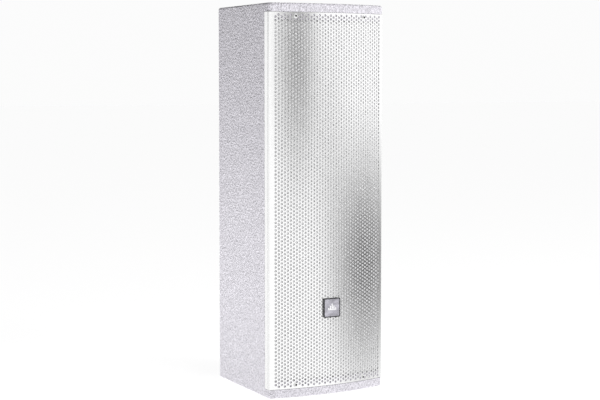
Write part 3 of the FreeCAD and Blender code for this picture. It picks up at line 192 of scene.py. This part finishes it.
def vary_roughness(material, shader, fac, low, high):
    span = add_node(material, "ShaderNodeMapRange")
    span.inputs["To Min"].default_value = low
    span.inputs["To Max"].default_value = high
    join(material, fac, span.inputs["Value"])
    join(material, span.outputs["Result"], shader.inputs["Roughness"])


def add_bump(material, shader, fac, height, strength=1.0):
    """Bump of a height in metres; a second call adds to the first."""
    bump = add_node(material, "ShaderNodeBump", Strength=strength, Distance=height)
    join(material, fac, bump.inputs["Height"])
    target = shader.inputs["Normal"]
    if target.links:
        join(material, target.links[0].from_socket, bump.inputs["Normal"])
    join(material, bump.outputs["Normal"], target)


def shades(color, spread):
    """A darker and a lighter version of a colour."""
    return tuple(c * (1 - spread) for c in color), tuple(min(1, c * (1 + spread)) for c in color)


def speckled(name, color, roughness, metallic=0.0, scale=400, spread=0.06, bump=0.02, coat=0.0):
    """The general finish: a shade that varies a little, fine grain and an uneven gloss."""
    material, shader = new_material(name, color, roughness, metallic)
    dark, light = shades(color, spread)
    vary_color(material, shader, noise_texture(material, scale / 8), dark, light)
    grain = noise_texture(material, scale)
    vary_roughness(material, shader, grain, roughness * 0.85, min(1, roughness * 1.2))
    add_bump(material, shader, grain, bump * MM)
    shader.inputs["Coat Weight"].default_value = coat
    return material


def brushed(name, color, roughness, metallic):
    """Brushed metal: fine streaks across, and broad patches where the brushing is heavier."""
    material, shader = new_material(name, color, roughness, metallic)
    streaks = noise_texture(material, 900, 4.0, (0.06, 1, 1))
    patches = noise_texture(material, 160, 2.0, (0.5, 1, 1))
    dark, light = shades(color, 0.3)
    vary_color(material, shader, patches, dark, light, 0.3, 0.7)
    vary_roughness(material, shader, streaks, roughness * 0.7, roughness * 1.5)
    add_bump(material, shader, streaks, 0.04 * MM)
    return material


def textured_paint(name, color):
    """Sprayed structure paint: clusters of small droplets over a finer grain. The clusters are
    painted lighter and the ground between them darker: partly the paint's uneven tone, partly
    painted shade of its relief.
    """
    material, shader = new_material(name, color, 0.35)
    clusters_and_shade = noise_texture(material, 290, 2.0)
    drops = cell_texture(material, 560)
    fine = noise_texture(material, 1300, 2.0)
    dark, light = shades(color, 0.18)
    # Lighter on the raised clusters, darker between them: partly the paint's own tone, partly
    # painted shade of its relief
    vary_color(material, shader, clusters_and_shade, dark, light, 0.35, 0.65)
    vary_roughness(material, shader, fine, 0.3, 0.5)
    add_bump(material, shader, fine, 0.08 * MM, 0.8)
    add_bump(material, shader, drops, -0.4 * MM)
    add_bump(material, shader, clusters_and_shade, 4 * MM)
    return material


def bare_plywood(name, color):
    """Birch with a long upright grain."""
    material, shader = new_material(name, color, 0.62)
    grain = noise_texture(material, 60, 6.0, (6, 6, 0.35))
    dark, light = shades(color, 0.16)
    vary_color(material, shader, grain, dark, light)
    add_bump(material, shader, grain, 0.08 * MM)
    return material


def fibre(name, color, scale):
    material, shader = new_material(name, color, 0.95)
    strands = noise_texture(material, scale, 6.0, (1, 1, 0.25))
    dark, light = shades(color, 0.22)
    vary_color(material, shader, strands, dark, light)
    add_bump(material, shader, strands, 0.4 * MM)
    shader.inputs["Sheen Weight"].default_value = 0.3
    return material


def open_foam(name, color):
    """Open-cell foam: small pores in a pale skin, painted darker as shade inside them."""
    material, shader = new_material(name, color, 0.92)
    pores = cell_texture(material, 900, "F1")
    dark, light = shades(color, 0.12)
    # Darker at each pore: painted shade inside the pores
    vary_color(material, shader, pores, dark, light, 0.1, 0.6)
    add_bump(material, shader, pores, 0.3 * MM)
    return material


def woven(name, color):
    """Cloth: two crossed wave textures."""
    material, shader = new_material(name, color, 0.8)
    waves = []
    for direction in ("X", "Z"):
        wave = add_node(material, "ShaderNodeTexWave", Scale=220.0, Distortion=0.4)
        wave.bands_direction = direction
        waves.append(place_texture(material, wave).outputs["Fac"])
    weave = add_node(material, "ShaderNodeMath")
    weave.operation = "MULTIPLY"
    join(material, waves[0], weave.inputs[0])
    join(material, waves[1], weave.inputs[1])
    dark, light = shades(color, 0.25)
    vary_color(material, shader, weave.outputs["Value"], dark, light, 0.1, 0.8)
    add_bump(material, shader, weave.outputs["Value"], 0.2 * MM)
    return material


def wound_wire(name, color):
    """Enamelled wire, laid turn by turn."""
    material, shader = new_material(name, color, 0.3, 0.9)
    turns = add_node(material, "ShaderNodeTexWave", Scale=300.0, Distortion=0.2)
    turns.bands_direction = "Y"
    fac = place_texture(material, turns).outputs["Fac"]
    dark, light = shades(color, 0.3)
    vary_color(material, shader, fac, dark, light, 0.2, 0.8)
    add_bump(material, shader, fac, 0.25 * MM)
    return material


def screws_with_painted_socket_shade(name, color, node):
    """Painted screw heads with a near-black disc in each middle, painted shade of the socket
    recess. The four heads lie evenly about the node's middle.
    """
    material = speckled(name, color, 0.35, scale=900, spread=0.02)
    shader = material.node_tree.nodes["Principled BSDF"]
    low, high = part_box(node)
    flow = add_node(material, "ShaderNodeTexCoord").outputs["Object"]
    steps = (
        ("SUBTRACT", (low + high) / 2),
        ("ABSOLUTE", None),
        ("SUBTRACT", (high - low) / 2 - Vector((SCREW_HEAD, 0, SCREW_HEAD))),
        ("MULTIPLY", Vector((1 / SCREW_HEAD, 0, 1 / SCREW_HEAD))),
        ("LENGTH", None),
    )
    for operation, value in steps:
        step = add_node(material, "ShaderNodeVectorMath")
        step.operation = operation
        if value is not None:
            step.inputs[1].default_value = value
        join(material, flow, step.inputs[0])
        flow = step.outputs["Value" if operation == "LENGTH" else "Vector"]
    # Near-black disc at each head's middle: painted shade of the socket recess
    vary_color(material, shader, flow, (0.02, 0.02, 0.02), color, *SOCKET_SHADE_EDGE)
    return material


# Slots with the general finish: colour, roughness, metallic, and what differs from its usual form
SPECKLED = {
    "grille_paint": ((0.93, 0.93, 0.93), 0.16, 0.9, {"scale": 1200, "spread": 0.02, "bump": 0.01}),
    "dark_screws": ((0.03, 0.03, 0.032), 0.38, 0.4, {"scale": 900}),
    "plated_steel": ((0.60, 0.60, 0.58), 0.28, 1.0, {"scale": 500, "spread": 0.08}),
    "basket_paint": ((0.035, 0.035, 0.037), 0.4, 0.0, {"scale": 1100, "bump": 0.04}),
    "ferrite": ((0.06, 0.06, 0.065), 0.5, 0.2, {"scale": 700, "spread": 0.25, "bump": 0.05}),
    "surround_rubber": ((0.022, 0.022, 0.023), 0.62, 0.0, {"scale": 800, "bump": 0.03}),
    "diaphragm_metal": ((0.72, 0.72, 0.75), 0.3, 1.0, {"scale": 600}),
    "black_plastic": ((0.028, 0.028, 0.03), 0.48, 0.0, {"scale": 1300, "bump": 0.04}),
    # badge_rim is near-black all round: the base's black plastic, and also painted shade of the gap
    # round the badge
    "badge_rim": ((0.012, 0.012, 0.014), 0.25, 0.0, {"scale": 900, "bump": 0.005, "coat": 0.4}),
    "badge_mark": ((0.93, 0.93, 0.94), 0.4, 0.2, {"scale": 900, "spread": 0.03, "bump": 0.005}),
    "board": ((0.05, 0.16, 0.08), 0.45, 0.0, {"scale": 300, "spread": 0.2}),
    "capacitor_case": ((0.55, 0.40, 0.08), 0.4, 0.0, {"scale": 500}),
    "lead_jacket": ((0.03, 0.03, 0.03), 0.55, 0.0, {"scale": 900}),
}
materials = {
    "cabinet_paint": textured_paint("cabinet_paint", (0.715, 0.695, 0.75)),
    "plywood": bare_plywood("plywood", (0.62, 0.45, 0.27)),
    "grille_foam": open_foam("grille_foam", (0.74, 0.74, 0.75)),
    "lining": fibre("lining", (0.66, 0.62, 0.52), 900),
    "light_screws": screws_with_painted_socket_shade("light_screws", (0.80, 0.80, 0.80), "grille_screws"),
    "cone_paper": fibre("cone_paper", (0.05, 0.05, 0.055), 500),
    "spider_cloth": woven("spider_cloth", (0.62, 0.42, 0.18)),
    "copper": wound_wire("copper", (0.70, 0.32, 0.16)),
    "coil_former": wound_wire("coil_former", (0.62, 0.42, 0.26)),
    "badge_field": brushed("badge_field", (0.46, 0.45, 0.50), 0.3, 0.5),
}
for slot, (color, roughness, metallic, grain) in SPECKLED.items():
    materials[slot] = speckled(slot, color, roughness, metallic, **grain)
for entry in frame["record"]["subparts"]:
    data = nodes[entry["node"]].data
    data.materials.clear()
    data.materials.append(materials[entry["material_slot"]])


# Helpers for pieces


def new_object(name, mesh, slot):
    piece = bpy.data.objects.new(name, mesh)
    scene.collection.objects.link(piece)
    mesh.materials.append(materials[slot])
    return piece


def soften(node, width):
    """Rounds a CAD node's sharp edges a little, so that they catch the light."""
    bevel = nodes[node].modifiers.new("edges", "BEVEL")
    bevel.width = width
    bevel.segments = 2
    bevel.limit_method = "ANGLE"
    bevel.angle_limit = math.radians(40)
    bevel.harden_normals = True


# Grille


class GrilleSection:
    """The grille's plan section by arc length from its middle: a bow, a bend and a return."""

    def __init__(self):
        low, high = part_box("grille")
        self.centre_y = low.y + BOW_RADIUS
        corner_y = self.centre_y - math.sqrt(BOW_RADIUS**2 - HALF_WIDTH**2)
        outward = Vector((math.cos(SIDE_TAPER), math.sin(SIDE_TAPER)))
        reach = Vector((HALF_WIDTH, corner_y - self.centre_y)).dot(outward) - BEND_RADIUS
        self.bow_angle = SIDE_TAPER + math.asin(reach / (BOW_RADIUS - BEND_RADIUS))
        self.bow_length = BOW_RADIUS * self.bow_angle
        self.bend_angle = math.pi / 2 + SIDE_TAPER - self.bow_angle
        self.bend_length = BEND_RADIUS * self.bend_angle
        bend_end = self.bend_centre() + outward * BEND_RADIUS
        self.return_length = (high.y - bend_end.y) / math.cos(SIDE_TAPER)

    def bend_centre(self):
        reach = BOW_RADIUS - BEND_RADIUS
        x, back = reach * math.sin(self.bow_angle), reach * math.cos(self.bow_angle)
        return Vector((x, self.centre_y - back))

    def at(self, along):
        """Point and outward normal in plan, at a distance along the section."""
        side = 1 if along >= 0 else -1
        run = abs(along)
        if run <= self.bow_length:
            angle = run / BOW_RADIUS
            normal = Vector((math.sin(angle), -math.cos(angle)))
            point = Vector((0, self.centre_y)) + normal * BOW_RADIUS
        else:
            turn = min((run - self.bow_length) / BEND_RADIUS, self.bend_angle)
            angle = self.bow_angle + turn
            normal = Vector((math.sin(angle), -math.cos(angle)))
            point = self.bend_centre() + normal * BEND_RADIUS
            straight = max(0, run - self.bow_length - self.bend_length)
            point += Vector((-math.sin(SIDE_TAPER), math.cos(SIDE_TAPER))) * straight
        return Vector((point.x * side, point.y)), Vector((normal.x * side, normal.y))


def clip(polygon, axis, limit, sign):
    """The part of a flat polygon with sign * coordinate <= sign * limit."""
    kept = []
    for a, b in zip(polygon, polygon[1:] + polygon[:1]):
        a_in, b_in = (sign * (p[axis] - limit) <= SAME_LINE for p in (a, b))
        if a_in:
            kept.append(a)
        if a_in != b_in:
            t = (limit - a[axis]) / (b[axis] - a[axis])
            cut = [a[0] + (b[0] - a[0]) * t, a[1] + (b[1] - a[1]) * t]
            cut[axis] = limit
            kept.append(tuple(cut))
    return kept


class FlatSheet:
    """Faces of the developed sheet, with shared points."""

    def __init__(self):
        self.points = []
        self.faces = []
        self.index = {}

    def point(self, p):
        key = (round(p[0] * 1e7), round(p[1] * 1e7))
        for dx in (0, -1, 1):
            for dy in (0, -1, 1):
                near = self.index.get((key[0] + dx, key[1] + dy))
                if near is not None:
                    return near
        self.index[key] = len(self.points)
        self.points.append(p)
        return self.index[key]

    def face(self, polygon):
        corners = [self.point(p) for p in polygon]
        corners = [c for i, c in enumerate(corners) if c != corners[i - 1]]
        if len(corners) > 2:
            self.faces.append(corners)


def perforate(section, bottom, top, solid_spots):
    """The flat pattern: hexagonal cells in staggered columns, with a hole where there is room."""
    flat = FlatSheet()
    step = HOLE_PITCH * math.sqrt(3) / 2
    edge = section.bow_length
    middle = (bottom + top) / 2
    columns = math.ceil(edge / step) + 1
    rows = math.ceil((top - bottom) / 2 / HOLE_PITCH) + 1
    corner = HOLE_PITCH / math.sqrt(3)
    nearest = [round(i * HOLE_SIDES / 6) for i in range(7)]

    def circle(x, z, radius, sides):
        angles = [2 * math.pi * i / sides for i in range(sides)]
        return [(x + radius * math.cos(a), z + radius * math.sin(a)) for a in angles]

    for k in range(-columns, columns + 1):
        for j in range(-rows, rows + 1):
            x, z = k * step + COLUMN_SHIFT, middle + (j + 0.5 * (k % 2)) * HOLE_PITCH
            around = circle(x, z, corner, 6)
            room = min(edge - SIDE_MARGIN - abs(x), z - bottom, top - z) - HOLE_RADIUS
            near_spot = any(math.hypot(x - sx, z - sz) < SCREW_MARGIN for sx, sz in solid_spots)
            if room > EDGE_MARGIN and not near_spot:
                hole = circle(x, z, HOLE_RADIUS, HOLE_SIDES)
                for i in range(6):
                    arc = [hole[h % HOLE_SIDES] for h in range(nearest[i + 1], nearest[i] - 1, -1)]
                    flat.face([around[i], around[(i + 1) % 6], *arc])
                continue
            for axis, limit, sign in ((0, edge, 1), (0, -edge, -1), (1, top, 1), (1, bottom, -1)):
                if around:
                    around = clip(around, axis, limit, sign)
            if len(around) > 2:
                flat.face(around)
    return flat


def add_returns(flat, section):
    """Strips round each bend and back along each return, from the pattern's side edges."""
    bends = range(1, BEND_STEPS + 1)
    steps = [section.bow_length + section.bend_length * i / BEND_STEPS for i in bends]
    steps.append(steps[-1] + section.return_length)
    for side in (1, -1):
        edge = section.bow_length * side
        heights = sorted(p[1] for p in flat.points if abs(p[0] - edge) < SAME_LINE)
        posts = heights[:-1:RETURN_CHUNK] + heights[-1:]
        stations = [edge] + [run * side for run in steps]
        for near, far in zip(stations, stations[1:]):
            for low, high in zip(posts, posts[1:]):
                shared = [z for z in heights if low <= z <= high] if near == edge else [low, high]
                strip = [(far, low), (far, high)] + [(near, z) for z in reversed(shared)]
                flat.face(strip if side > 0 else strip[::-1])


def folded_sheet(name, flat, section):
    """The flat pattern folded to the section and given its thickness; only its rims are sharp."""
    outer, inner = [], []
    for along, z in flat.points:
        point, normal = section.at(along)
        outer.append((point.x, point.y, z))
        back = point - normal * SHEET
        inner.append((back.x, back.y, z))
    count = len(outer)
    seen = {}
    for face in flat.faces:
        for a, b in zip(face, face[1:] + face[:1]):
            key = (min(a, b), max(a, b))
            seen.setdefault(key, []).append((a, b))
    rims = [pairs[0] for pairs in seen.values() if len(pairs) == 1]
    faces = list(flat.faces)
    faces += [[i + count for i in reversed(face)] for face in flat.faces]
    faces += [[b, a, a + count, b + count] for a, b in rims]
    mesh = bpy.data.meshes.new(name)
    mesh.from_pydata(outer + inner, [], faces)
    mesh.polygons.foreach_set("use_smooth", [True] * len(mesh.polygons))
    sharp = {tuple(sorted(pair)) for pair in rims}
    sharp |= {(a + count, b + count) for a, b in sharp}
    for mesh_edge in mesh.edges:
        mesh_edge.use_edge_sharp = tuple(sorted(mesh_edge.vertices)) in sharp
    mesh.update()
    return mesh


def badge_centre():
    """The middle of the badge's base, which its pin runs through."""
    low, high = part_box("badge_base")
    return Vector((0, low.y, (low.z + high.z) / 2))


def bore(piece, radius):
    """Drills a round hole through a sheet from front to back, where the badge's pin passes."""
    place = Matrix.Translation(badge_centre()) @ Matrix.Rotation(math.pi / 2, 4, "X")
    cutter = bmesh.new()
    size = {"radius1": radius, "radius2": radius, "depth": DRILL_DEPTH, "segments": DRILL_SIDES}
    bmesh.ops.create_cone(cutter, cap_ends=True, matrix=place, **size)
    mesh = bpy.data.meshes.new("drill")
    cutter.to_mesh(mesh)
    cutter.free()
    drill = bpy.data.objects.new("drill", mesh)
    scene.collection.objects.link(drill)
    cut = piece.modifiers.new("bore", "BOOLEAN")
    cut.object, cut.operation, cut.solver = drill, "DIFFERENCE", "EXACT"
    drilled = piece.evaluated_get(bpy.context.evaluated_depsgraph_get())
    piece.data = bpy.data.meshes.new_from_object(drilled)
    piece.modifiers.clear()
    bpy.data.objects.remove(drill)


def make_grille():
    section = GrilleSection()
    low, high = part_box("grille")
    spots = [(0, badge_centre().z)]
    screw_low, screw_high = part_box("grille_screws")
    for x in (screw_low.x + SCREW_HEAD, screw_high.x - SCREW_HEAD):
        for z in (screw_low.z + SCREW_HEAD, screw_high.z - SCREW_HEAD):
            spots.append((BOW_RADIUS * math.asin(x / BOW_RADIUS), z))
    flat = perforate(section, low.z, high.z, spots)
    add_returns(flat, section)
    mesh = folded_sheet("perforated_grille", flat, section)
    grille = new_object("perforated_grille", mesh, "grille_paint")
    bore(grille, PIN_BORE)
    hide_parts("grille")
    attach(grille, "cabinet")
    return section


# Soft pieces


def add_slab(grid, width, height, depth, place, lump, cell, rim):
    """Adds a closed slab with a lumpy face and a rim drawn in all round.

    place(u, v, d) gives a point from distances across, up and through the slab.
    """
    across, up = max(2, round(width / cell)), max(2, round(height / cell))
    front, back = [], []
    for layer, rows in enumerate((front, back)):
        for j in range(up + 1):
            row = []
            for i in range(across + 1):
                u, v = (i / across - 0.5) * width, (j / up) * height
                to_edge = min(width / 2 - abs(u), v, height - v)
                inset = rim * max(0, 1 - to_edge / (2 * rim))
                spot = Vector((u, v, 0)) / DENT_SCALE + Vector((0, 0, SEED))
                dent = lump * max(0, DENT_LEVEL - noise.noise(spot))
                row.append(grid.verts.new(place(u, v, depth - inset if layer else inset + dent)))
            rows.append(row)
    for j in range(up):
        for i in range(across):
            for rows in (front, back):
                grid.faces.new([rows[j][i], rows[j][i + 1], rows[j + 1][i + 1], rows[j + 1][i]])
    for i in range(across):
        for j in (0, up):
            grid.faces.new([front[j][i], front[j][i + 1], back[j][i + 1], back[j][i]])
    for j in range(up):
        for i in (0, across):
            grid.faces.new([front[j][i], front[j + 1][i], back[j + 1][i], back[j][i]])


def slabs_object(name, slot, grid):
    """Turns finished slabs into one smooth piece."""
    bmesh.ops.recalc_face_normals(grid, faces=grid.faces)
    for face in grid.faces:
        face.smooth = True
    mesh = bpy.data.meshes.new(name)
    grid.to_mesh(mesh)
    grid.free()
    return new_object(name, mesh, slot)


def make_foam(section):
    """The thin foam sheet glued inside the grille."""
    low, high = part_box("grille_foam")
    inner = BOW_RADIUS - SHEET - FOAM_GAP

    def bowed(u, v, d):
        angle = u / inner
        radius = inner - d
        y = section.centre_y - radius * math.cos(angle)
        return (radius * math.sin(angle), y, low.z + v)

    width = 2 * inner * math.asin(high.x / inner)
    grid = bmesh.new()
    add_slab(grid, width, high.z - low.z, FOAM_DEPTH, bowed, FOAM_DENT, FOAM_CELL, FOAM_RIM)
    foam = slabs_object("foam_backing", "grille_foam", grid)
    bore(foam, FOAM_BORE)
    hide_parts("grille_foam")
    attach(foam, "cabinet")


def box_islands(node):
    """The corners of each separate solid of a CAD node, in the same order on every run."""
    mesh = bmesh.new()
    mesh.from_mesh(nodes[node].data)
    bmesh.ops.remove_doubles(mesh, verts=mesh.verts, dist=1e-6)
    mesh.verts.index_update()
    met, islands = set(), []
    for first in mesh.verts:
        if first.index in met:
            continue
        met.add(first.index)
        stack, found = [first], []
        while stack:
            vertex = stack.pop()
            found.append(vertex.co.copy())
            for mesh_edge in vertex.link_edges:
                other = mesh_edge.other_vert(vertex)
                if other.index not in met:
                    met.add(other.index)
                    stack.append(other)
        islands.append(found)
    mesh.free()
    return islands


def make_linings():
    """Fibre pads on the inside of both sides, as one piece."""
    grid = bmesh.new()
    for corners in box_islands("side_linings"):
        side = 1 if corners[0].x > 0 else -1
        bottom, top = min(p.z for p in corners), max(p.z for p in corners)
        front, back = min(p.y for p in corners), max(p.y for p in corners)
        outer = max(corners, key=lambda p: p.x * side)
        along = Vector((-math.sin(SIDE_TAPER) * side, math.cos(SIDE_TAPER), 0))
        inward = Vector((-math.cos(SIDE_TAPER) * side, -math.sin(SIDE_TAPER), 0))
        length = (back - front - LINING_CAD_DEPTH * math.sin(SIDE_TAPER)) / math.cos(SIDE_TAPER)
        start = Vector((outer.x, outer.y, bottom)) + along * length / 2

        def on_wall(u, v, d, start=start, along=along, inward=inward):
            return start + along * u + inward * (LINING_FACE - d) + Vector((0, 0, v))

        rise = top - bottom
        add_slab(grid, length, rise, LINING_DEPTH, on_wall, LINING_DENT, LINING_CELL, LINING_RIM)
    linings = slabs_object("wall_linings", "lining", grid)
    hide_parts("side_linings")
    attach(linings, "cabinet")


# Stage


def square(name, half):
    """A flat square in the stage, facing up."""
    mesh = bpy.data.meshes.new(name)
    corners = [(-half, -half, 0), (half, -half, 0), (half, half, 0), (-half, half, 0)]
    mesh.from_pydata(corners, [], [(0, 1, 2, 3)])
    flat = bpy.data.objects.new(name, mesh)
    scene.collection.objects.link(flat)
    return flat


def aim_at(thing, place, aim, axis):
    """Puts a thing in its place and turns one of its axes to a point."""
    thing.location = place
    thing.rotation_mode = "QUATERNION"
    thing.rotation_quaternion = (Vector(aim) - Vector(place)).to_track_quat(axis, "Y")


def make_floor():
    floor = square("floor", FLOOR_HALF)
    material, shader = new_material("floor", (FLOOR_GREY,) * 3, 0.9)
    floor.data.materials.append(material)
    shader.inputs["Specular IOR Level"].default_value = 0.0
    shader.inputs["Emission Color"].default_value = WHITE
    shader.inputs["Emission Strength"].default_value = FLOOR_GLOW
    floor.location.z = -FLOOR_DROP
    floor.visible_glossy = False


def add_card(name, place, aim, half_width, half_height, strength, glow=0.0):
    """A soft-edged oval card, black or glowing, that shows only in reflections."""
    card = square(name, 1)
    aim_at(card, place, aim, "Z")
    card.scale = (half_width, half_height, 1)
    material, shader = new_material(name, (0.01, 0.01, 0.01), 0.9)
    shader.inputs["Emission Color"].default_value = WHITE
    shader.inputs["Emission Strength"].default_value = glow
    oval = add_node(material, "ShaderNodeTexGradient")
    oval.gradient_type = "SPHERICAL"
    edge = add_node(material, "ShaderNodeMapRange")
    edge.interpolation_type = "SMOOTHSTEP"
    edge.inputs["To Max"].default_value = strength
    join(material, place_texture(material, oval).outputs["Fac"], edge.inputs["Value"])
    join(material, edge.outputs["Result"], shader.inputs["Alpha"])
    card.data.materials.append(material)
    card.visible_camera = card.visible_diffuse = False
    card.visible_shadow = card.visible_transmission = False


def area_light(name, place, aim, size, power):
    """A rectangular light that isn't seen itself, neither directly nor in reflections."""
    lamp = bpy.data.lights.new(name, "AREA")
    lamp.shape = "RECTANGLE"
    lamp.size, lamp.size_y = size
    lamp.energy = power
    holder = bpy.data.objects.new(name, lamp)
    scene.collection.objects.link(holder)
    aim_at(holder, place, aim, "-Z")
    holder.visible_camera = holder.visible_glossy = False


def make_world():
    """A soft white surround with darker and brighter parts; the camera sees it plain white."""
    world = bpy.data.worlds.new("studio")
    scene.world = world
    world.use_nodes = True
    tree = world.node_tree
    background = tree.nodes["Background"]
    coordinates = tree.nodes.new("ShaderNodeTexCoord")

    def falloff(direction, positions, levels):
        """A grey that depends on how far a direction turns towards the given one."""
        turned = tree.nodes.new("ShaderNodeVectorMath")
        turned.operation = "DOT_PRODUCT"
        turned.inputs[1].default_value = Vector(direction).normalized()
        span = tree.nodes.new("ShaderNodeMapRange")
        span.interpolation_type = "SMOOTHSTEP"
        span.inputs["From Min"].default_value, span.inputs["From Max"].default_value = positions
        span.inputs["To Min"].default_value, span.inputs["To Max"].default_value = levels
        tree.links.new(coordinates.outputs["Generated"], turned.inputs[0])
        tree.links.new(turned.outputs["Value"], span.inputs["Value"])
        return span.outputs["Result"]

    def math_node(operation, first, second):
        made = tree.nodes.new("ShaderNodeMath")
        made.operation = operation
        for socket, value in zip(made.inputs, (first, second)):
            if isinstance(value, float):
                socket.default_value = value
            else:
                tree.links.new(value, socket)
        return made.outputs["Value"]

    overhead = falloff(UP, OVERHEAD_SPAN, (1, SKY_OVERHEAD))
    beside = falloff(DARK_SIDE, DARK_SIDE_SPAN, (0, 1 - DARK_LEVEL))
    above = falloff(UP, DARK_ABOVE_SPAN, (0, 1))
    lit = math_node("SUBTRACT", 1.0, math_node("MULTIPLY", beside, above))
    ahead = falloff(BRIGHT_FRONT, BRIGHT_SPAN, (1, BRIGHT_LEVEL))
    level = math_node("MULTIPLY", math_node("MULTIPLY", overhead, lit), ahead)
    path = tree.nodes.new("ShaderNodeLightPath")
    seen = tree.nodes.new("ShaderNodeMix")
    seen.inputs["B"].default_value = SKY_SEEN
    tree.links.new(path.outputs["Is Camera Ray"], seen.inputs["Factor"])
    tree.links.new(level, seen.inputs["A"])
    tree.links.new(seen.outputs["Result"], background.inputs["Strength"])
    background.inputs["Color"].default_value = WHITE


def make_camera():
    data = bpy.data.cameras.new("camera")
    data.lens = CAMERA_LENS
    data.sensor_width = CAMERA_SENSOR
    camera = bpy.data.objects.new("camera", data)
    scene.collection.objects.link(camera)
    camera.location = CAMERA_PLACE
    tilt, heading = math.radians(90 + CAMERA_TILT), math.radians(-CAMERA_HEADING)
    camera.rotation_euler = Euler((tilt, 0, heading))
    scene.camera = camera


scene.view_settings.view_transform = "Standard"
make_camera()
make_world()
make_floor()
# Lights: place, aim, size and power. Cards: place, aim, half width and height, strength and glow
area_light("low_left", (-0.66, 0.12, 0.11), (-0.1, 0, 0.11), (0.8, 0.2), 2.3)
area_light("front_floor", (0.9, -2.2, 1.6), (0.8, -1.6, 0), (1.2, 1.2), 4)
area_light("front_fill", (1.4, -2.7, 1.5), (0, -0.1, 0.5), (1.6, 1.6), 36)
add_card("upper_card", (0.57, -2.53, 0.63), (-0.07, -0.12, 0.57), 0.72, 0.57, 0.9)
add_card("middle_card", (1.29, -2.26, 0.32), (0, -0.12, 0.4), 0.75, 0.45, 0.3)
add_card("lower_card", (0.40, -0.36, 0.18), (0.07, -0.12, 0.2), 0.34, 0.36, 1.0)
add_card("left_card", (-1.1, 1.06, 0.3), (-0.11, -0.1, 0.34), 0.42, 1.4, 1.0)
add_card("rear_card", (-0.9, 2.2, 0.5), (-0.11, -0.1, 0.34), 1.0, 1.5, 1.0, 1.0)

section = make_grille()
make_foam(section)
make_linings()
for node in ("badge_base", "badge_face"):
    soften(node, BADGE_EDGE)
for node in ("terminal_cover", "input_cup"):
    soften(node, COVER_EDGE)
